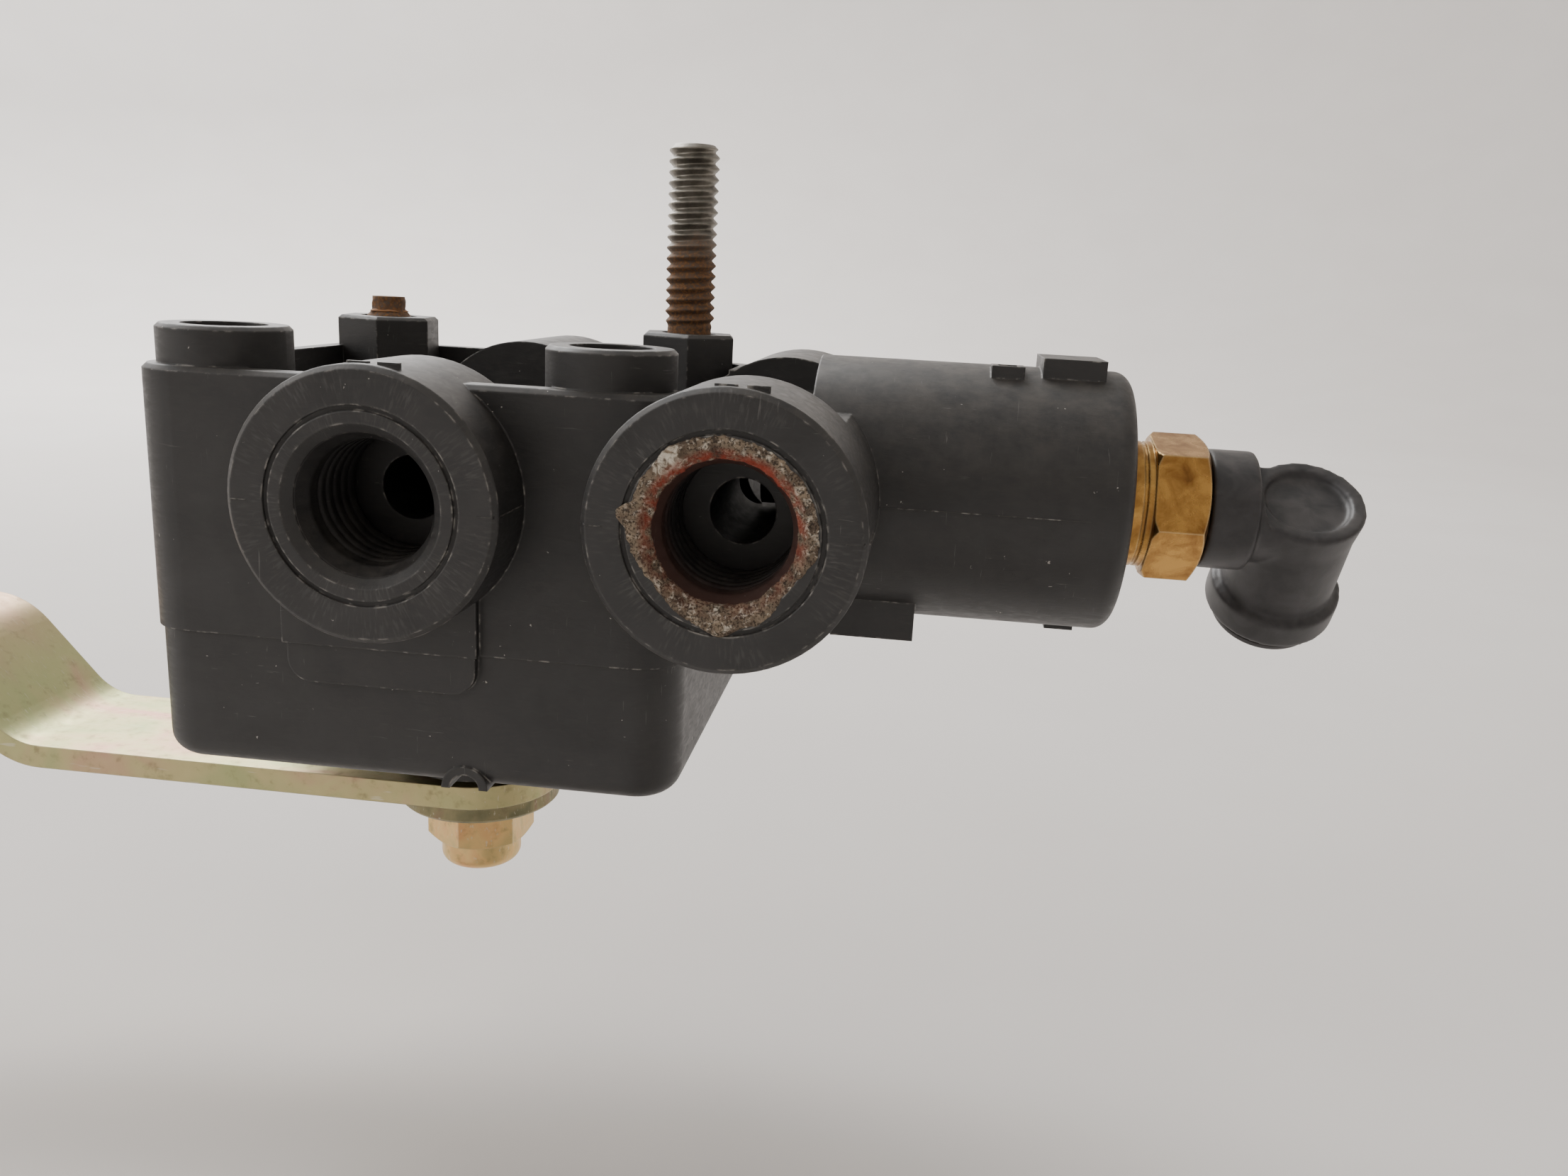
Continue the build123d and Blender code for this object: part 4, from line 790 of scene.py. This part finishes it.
deep_tarnish = add(brass, "MapRange", {"Value": stain, "From Min": 0.62, "From Max": 0.78, "To Max": 0.7})
tone = add(brass, "MixRGB", {"Fac": deep_tarnish, "Color1": tone, "Color2": linear("#5e3a20")})
bright_edge = add(brass, "Math", {0: edge, 1: 0.55}, operation="MULTIPLY")
tone = add(brass, "MixRGB", {"Fac": bright_edge, "Color1": tone, "Color2": linear("#f0d9a4")})
marks = add(brass, "Bump", {"Height": rings, "Strength": 0.12, "Distance": 0.03 * mm, "Normal": rounded})
shader = add(
    brass,
    "BsdfPrincipled",
    {
        "Base Color": tone,
        "Metallic": 1.0,
        "Roughness": add(
            brass,
            "MapRange",
            {"Value": stain, "From Min": 0.3, "From Max": 0.75, "To Min": 0.2, "To Max": 0.42},
        ),
        "Normal": marks,
    },
)
add(brass, "OutputMaterial", {"Surface": shader})
dress(brass, "brass_adapter", "check_seat", "dump_seat")


# ---------------------------------------------------------------- push-in elbow
# Moulded in black nylon round the swivel stub and the barrel, softer in its edges than the
# valve. Its closed end is a shallow dish inside a rim, and a collar stands round its mouth.
socket = mounts["tube_socket"]
outlet = Vector(socket["axis"]).normalized()
joints = {joint["name"]: joint for joint in frame["joints"]}
swivel = Vector(joints["elbow_swivel"]["pos_m"])
reach = 14.1 * mm
closed_end = 2.2 * mm


def rod(start, end, radius, end_radius=None, steps=72):
    """A round rod from start to end as a separate mesh object, for joining or cutting."""
    bpy.ops.mesh.primitive_cone_add(
        vertices=steps,
        radius1=radius,
        radius2=radius if end_radius is None else end_radius,
        depth=(end - start).length,
    )
    piece = bpy.context.object
    piece.matrix_world = Matrix.Translation((start + end) / 2) @ (end - start).to_track_quat(
        "Z", "Y"
    ).to_matrix().to_4x4()
    return piece


def apply_modifier(piece, kind, **settings):
    modifier = piece.modifiers.new(kind.lower(), kind)
    for name, value in settings.items():
        setattr(modifier, name, value)
    bpy.context.view_layer.objects.active = piece
    bpy.ops.object.modifier_apply(modifier=modifier.name)


def cut(piece, cutter):
    apply_modifier(piece, "BOOLEAN", object=cutter, operation="DIFFERENCE", solver="EXACT")
    bpy.data.objects.remove(cutter)


along_x = Vector((1, 0, 0))
stub_radius, neck_radius = 6.45 * mm, 5.35 * mm
barrel_radius, barrel_end_radius = 5.7 * mm, 6.1 * mm
collar_radius = 7.1 * mm
inner_bore = 1.1 * mm
stub_start = Vector((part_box("elbow_body")[0].x, swivel.y, swivel.z))
stub_end = stub_start + along_x * 5.0 * mm
barrel_end = swivel + outlet * 10.6 * mm
closed_face = swivel - outlet * closed_end
parts = [
    rod(stub_start, stub_end, stub_radius),
    rod(stub_start, swivel, neck_radius),
    rod(swivel - outlet * (closed_end - 0.5 * mm), barrel_end, barrel_radius, barrel_end_radius),
    rod(closed_face, swivel + outlet * 1.2 * mm, barrel_end_radius, barrel_radius + 0.1 * mm),
    rod(swivel + outlet * 10.5 * mm, swivel + outlet * reach, collar_radius, collar_radius + 0.05 * mm),
]
bpy.ops.object.select_all(action="DESELECT")
for part in parts:
    part.select_set(True)
elbow = parts[0]
bpy.context.view_layer.objects.active = elbow
bpy.ops.object.join()
bpy.ops.object.transform_apply(location=True, rotation=True, scale=True)
elbow.name = "elbow_shell"
apply_modifier(elbow, "REMESH", mode="VOXEL", voxel_size=0.32 * mm, use_smooth_shade=True)
# above the closed end the neck is trimmed, and the end itself is dished
trim_radius = 9.0 * mm
trim = rod(closed_face, swivel - outlet * 12 * mm, trim_radius)
trim.location += along_x * (stub_end.x + trim_radius - swivel.x)
cut(elbow, trim)
cut(elbow, rod(swivel - outlet * (closed_end - 0.8 * mm), swivel - outlet * 6 * mm, 4.3 * mm, 5.6 * mm))
apply_modifier(elbow, "REMESH", mode="VOXEL", voxel_size=0.25 * mm, use_smooth_shade=True)
apply_modifier(elbow, "SMOOTH", factor=0.5, iterations=7)
for start, end, bore_radius in (
    (swivel + outlet * 4.6 * mm, swivel + outlet * 16 * mm, 5.25 * mm),
    (swivel + outlet * 2.6 * mm, swivel + outlet * 6 * mm, socket["dims"]["r_mm"] * mm),
    (swivel, swivel + outlet * 4 * mm, inner_bore),
    (stub_start - along_x * mm, stub_start + along_x * 4.6 * mm, 4.25 * mm),
    (stub_start + along_x * 4 * mm, swivel, inner_bore),
):
    cut(elbow, rod(start, end, bore_radius))
for face in elbow.data.polygons:
    face.use_smooth = True

elbow_nylon, here = new_material("moulded_nylon_elbow")
mottle = add(
    elbow_nylon,
    "TexNoise",
    {"Vector": here, "Scale": 1 / (3 * mm), "Detail": 4, "Roughness": 0.55, "Distortion": 0.5},
)
skin = add(elbow_nylon, "TexNoise", {"Vector": here, "Scale": 1 / (0.25 * mm)})
edge, rounded = worn_edges(elbow_nylon, 0.35 * mm)
mottled = add(elbow_nylon, "MapRange", {"Value": mottle, "From Min": 0.35, "From Max": 0.65})
tone = add(
    elbow_nylon, "MixRGB", {"Fac": mottled, "Color1": linear("#222122"), "Color2": linear("#333133")}
)
rubbed = add(elbow_nylon, "Math", {0: edge, 1: 0.2}, operation="MULTIPLY")
tone = add(elbow_nylon, "MixRGB", {"Fac": rubbed, "Color1": tone, "Color2": linear("#77736f")})
# painted top light and real dust: faces that point up are painted paler, in patches
facing = add(elbow_nylon, "NewGeometry", output="Normal")
up = add(elbow_nylon, "SeparateXYZ", {"Vector": facing}, output="Z")
level = add(elbow_nylon, "MapRange", {"Value": up, "From Min": 0.2, "From Max": 0.95})
dust_and_top_light = add(elbow_nylon, "MapRange", {"Value": mottle, "From Min": 0.3, "From Max": 0.7})
dust_and_top_light = add(elbow_nylon, "Math", {0: level, 1: dust_and_top_light}, operation="MULTIPLY")
dust_and_top_light = add(elbow_nylon, "Math", {0: dust_and_top_light, 1: 0.3}, operation="MULTIPLY")
tone = add(elbow_nylon, "MixRGB", {"Fac": dust_and_top_light, "Color1": tone, "Color2": linear("#6e6862")})
soft = add(
    elbow_nylon, "Bump", {"Height": skin, "Strength": 0.25, "Distance": 0.03 * mm, "Normal": rounded}
)
shader = add(
    elbow_nylon, "BsdfPrincipled", {"Base Color": tone, "Roughness": 0.46, "IOR": 1.53, "Normal": soft}
)
add(elbow_nylon, "OutputMaterial", {"Surface": shader})
elbow.data.materials.clear()
elbow.data.materials.append(elbow_nylon)
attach(elbow, "elbow")
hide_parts("elbow_body")
dress(elbow_nylon, "release_collet")


# ---------------------------------------------------------------- rubber seals
# O-rings, gaskets and the poppet's face in black nitrile rubber: compression moulded, matt,
# with a faint bloom of wax.
def plain_material(name, low, high, size, roughness, metallic=0.0, ior=1.5, depth=0.02 * mm):
    """A material with two close tones and a fine grain, for the pieces inside."""
    material, here = new_material(name)
    texture = add(material, "TexNoise", {"Vector": here, "Scale": 1 / size, "Detail": 4, "Roughness": 0.6})
    height = add(material, "Bump", {"Height": texture, "Strength": 0.3, "Distance": depth})
    inputs = {
        "Base Color": add(
            material,
            "MixRGB",
            {
                "Fac": add(material, "MapRange", {"Value": texture, "From Min": 0.3, "From Max": 0.7}),
                "Color1": linear(low),
                "Color2": linear(high),
            },
        ),
        "Roughness": add(
            material,
            "MapRange",
            {
                "Value": texture,
                "From Min": 0.2,
                "From Max": 0.8,
                "To Min": roughness - 0.06,
                "To Max": roughness + 0.06,
            },
        ),
        "Metallic": metallic,
        "Normal": height,
    }
    if not metallic:
        inputs["IOR"] = ior
    shader = add(material, "BsdfPrincipled", inputs)
    add(material, "OutputMaterial", {"Surface": shader})
    return material


dress(
    plain_material("nitrile_rubber", "#171717", "#242424", 0.8 * mm, 0.62, ior=1.52),
    "chamber_seal",
    "stator_gasket",
    "shaft_seals",
    "dump_piston_seal",
    "dump_poppet_seal",
    "cap_seal",
    "swivel_ring",
    "tube_seal",
)

# ---------------------------------------------------------------- discs of the rotary valve
# Two alumina ceramic discs, sintered and lapped flat against each other: off-white, dense and
# nearly glossy. One turns with the shaft, and the other stays in the housing.
dress(
    plain_material("lapped_alumina", "#e2ddd0", "#efebe1", 0.5 * mm, 0.22, ior=1.76),
    "stator_disc",
    "rotor_disc",
)

# ---------------------------------------------------------------- bush, thrust washer, poppet, nut insert
# Natural acetal and nylon, turned or moulded: milky white with a low sheen. Bush and washer carry
# the shaft, and the insert sits in the lock nut's collar.
dress(
    plain_material("natural_acetal", "#d9d5c8", "#e8e4d8", 1.2 * mm, 0.42, ior=1.48),
    "shaft_bush",
    "thrust_washer",
    "check_poppet",
    "lever_nut_insert",
)

# ---------------------------------------------------------------- dump piston
# Grey acetal, turned: a satin surface with fine tool marks. It slides in the pilot cylinder
# and carries its seals with it.
dress(plain_material("grey_acetal", "#8a8984", "#9b9a95", 0.6 * mm, 0.4, ior=1.48), "dump_piston")

# ---------------------------------------------------------------- springs
# Music-wire compression springs and a blanked disc spring, oiled and slightly blued. They are
# held only by what they press against.
dress(
    plain_material("spring_steel", "#77756f", "#9a9892", 0.7 * mm, 0.32, metallic=1.0),
    "rotor_spring",
    "check_spring",
    "dump_spring",
)

# ---------------------------------------------------------------- screen, clip and grip ring
# Pressed from stainless strip and left bright. The screen lies in the inlet, the clip holds the
# elbow in its swivel, and the grip ring holds the tube.
dress(
    plain_material("pressed_stainless", "#a9a8a4", "#c2c1bd", 0.9 * mm, 0.28, metallic=1.0),
    "inlet_screen",
    "swivel_clip",
    "grip_ring",
)

# ---------------------------------------------------------------- control shaft
# Carbon steel, turned and ground where it runs in the bush: bright, with a fine lay. The lever
# is clamped on its lower end.
dress(plain_material("ground_steel", "#8e8c87", "#adaba6", 0.5 * mm, 0.3, metallic=1.0), "control_shaft")

# ---------------------------------------------------------------- cover screws
# Thread-forming screws in zinc-plated steel, a little dull. They hold the lower housing to the
# upper one.
dress(plain_material("zinc_screw", "#8b877d", "#aaa69b", 0.8 * mm, 0.42, metallic=0.9), "cover_screws")


# ---------------------------------------------------------------- backdrop and studio light
# A seamless sweep of pale paper in matt off-white, curved up all round so that no edge shows,
# under one large soft light from the upper left and the rear.
paper, here = new_material("pale_paper")
fibre = add(paper, "TexNoise", {"Vector": here, "Scale": 1 / (60 * mm), "Detail": 3})
shader = add(
    paper,
    "BsdfPrincipled",
    {
        "Base Color": add(
            paper, "MixRGB", {"Fac": fibre, "Color1": linear("#cfcac6"), "Color2": linear("#d6d2ce")}
        ),
        "Roughness": 0.9,
        "Specular IOR Level": 0.2,
    },
)
add(paper, "OutputMaterial", {"Surface": shader})
floor_z = cad_box[0][2] - 25 * mm
flat_radius = 0.9
sweep_radius = 0.8
profile = [(0.05, 0.0), (0.4, 0.0), (flat_radius, 0.0)]
for i in range(1, 17):
    a = math.pi / 2 * i / 16
    profile.append((flat_radius + sweep_radius * math.sin(a), sweep_radius * (1 - math.cos(a))))
profile.append((flat_radius + sweep_radius, 1.5))
paper_rings = [
    [(r * math.cos(a), r * math.sin(a), floor_z + z) for a in turned()] for r, z in profile
]
paper_mesh = ring_mesh("backdrop", paper_rings[::-1])
# the top of the sweep stays open, and the middle is its last ring
shape = bmesh.new()
shape.from_mesh(paper_mesh)
bmesh.ops.delete(shape, geom=[max(shape.faces, key=lambda f: f.calc_center_median().z)], context="FACES")
for face in shape.faces:
    face.smooth = len(face.verts) == 4
shape.to_mesh(paper_mesh)
shape.free()
paper_mesh.materials.append(paper)
backdrop = bpy.data.objects.new("backdrop", paper_mesh)
bpy.context.collection.objects.link(backdrop)

world = bpy.data.worlds.new("studio")
world.use_nodes = True
bpy.context.scene.world = world
world.node_tree.nodes["Background"].inputs["Color"].default_value = linear("#fbf8f4")
world.node_tree.nodes["Background"].inputs["Strength"].default_value = 0.62


def soft_light(name, power, size, position, target):
    lamp = bpy.data.objects.new(name, bpy.data.lights.new(name, "AREA"))
    lamp.data.energy = power
    lamp.data.size = size
    aim = (Vector(target) - Vector(position)).to_track_quat("-Z", "Y").to_matrix().to_4x4()
    lamp.matrix_world = Matrix.Translation(position) @ aim
    bpy.context.collection.objects.link(lamp)


soft_light("key", 16.0, 0.8, (-0.55, 0.65, 0.75), (0.0, 0.1, -0.05))
soft_light("side", 1.3, 0.35, (-0.55, -0.28, 0.30), (0.0, 0.0, -0.03))
soft_light("backdrop_glow", 22.0, 1.0, (-0.7, 0.75, 1.0), (-0.6, 1.6, 0.1))
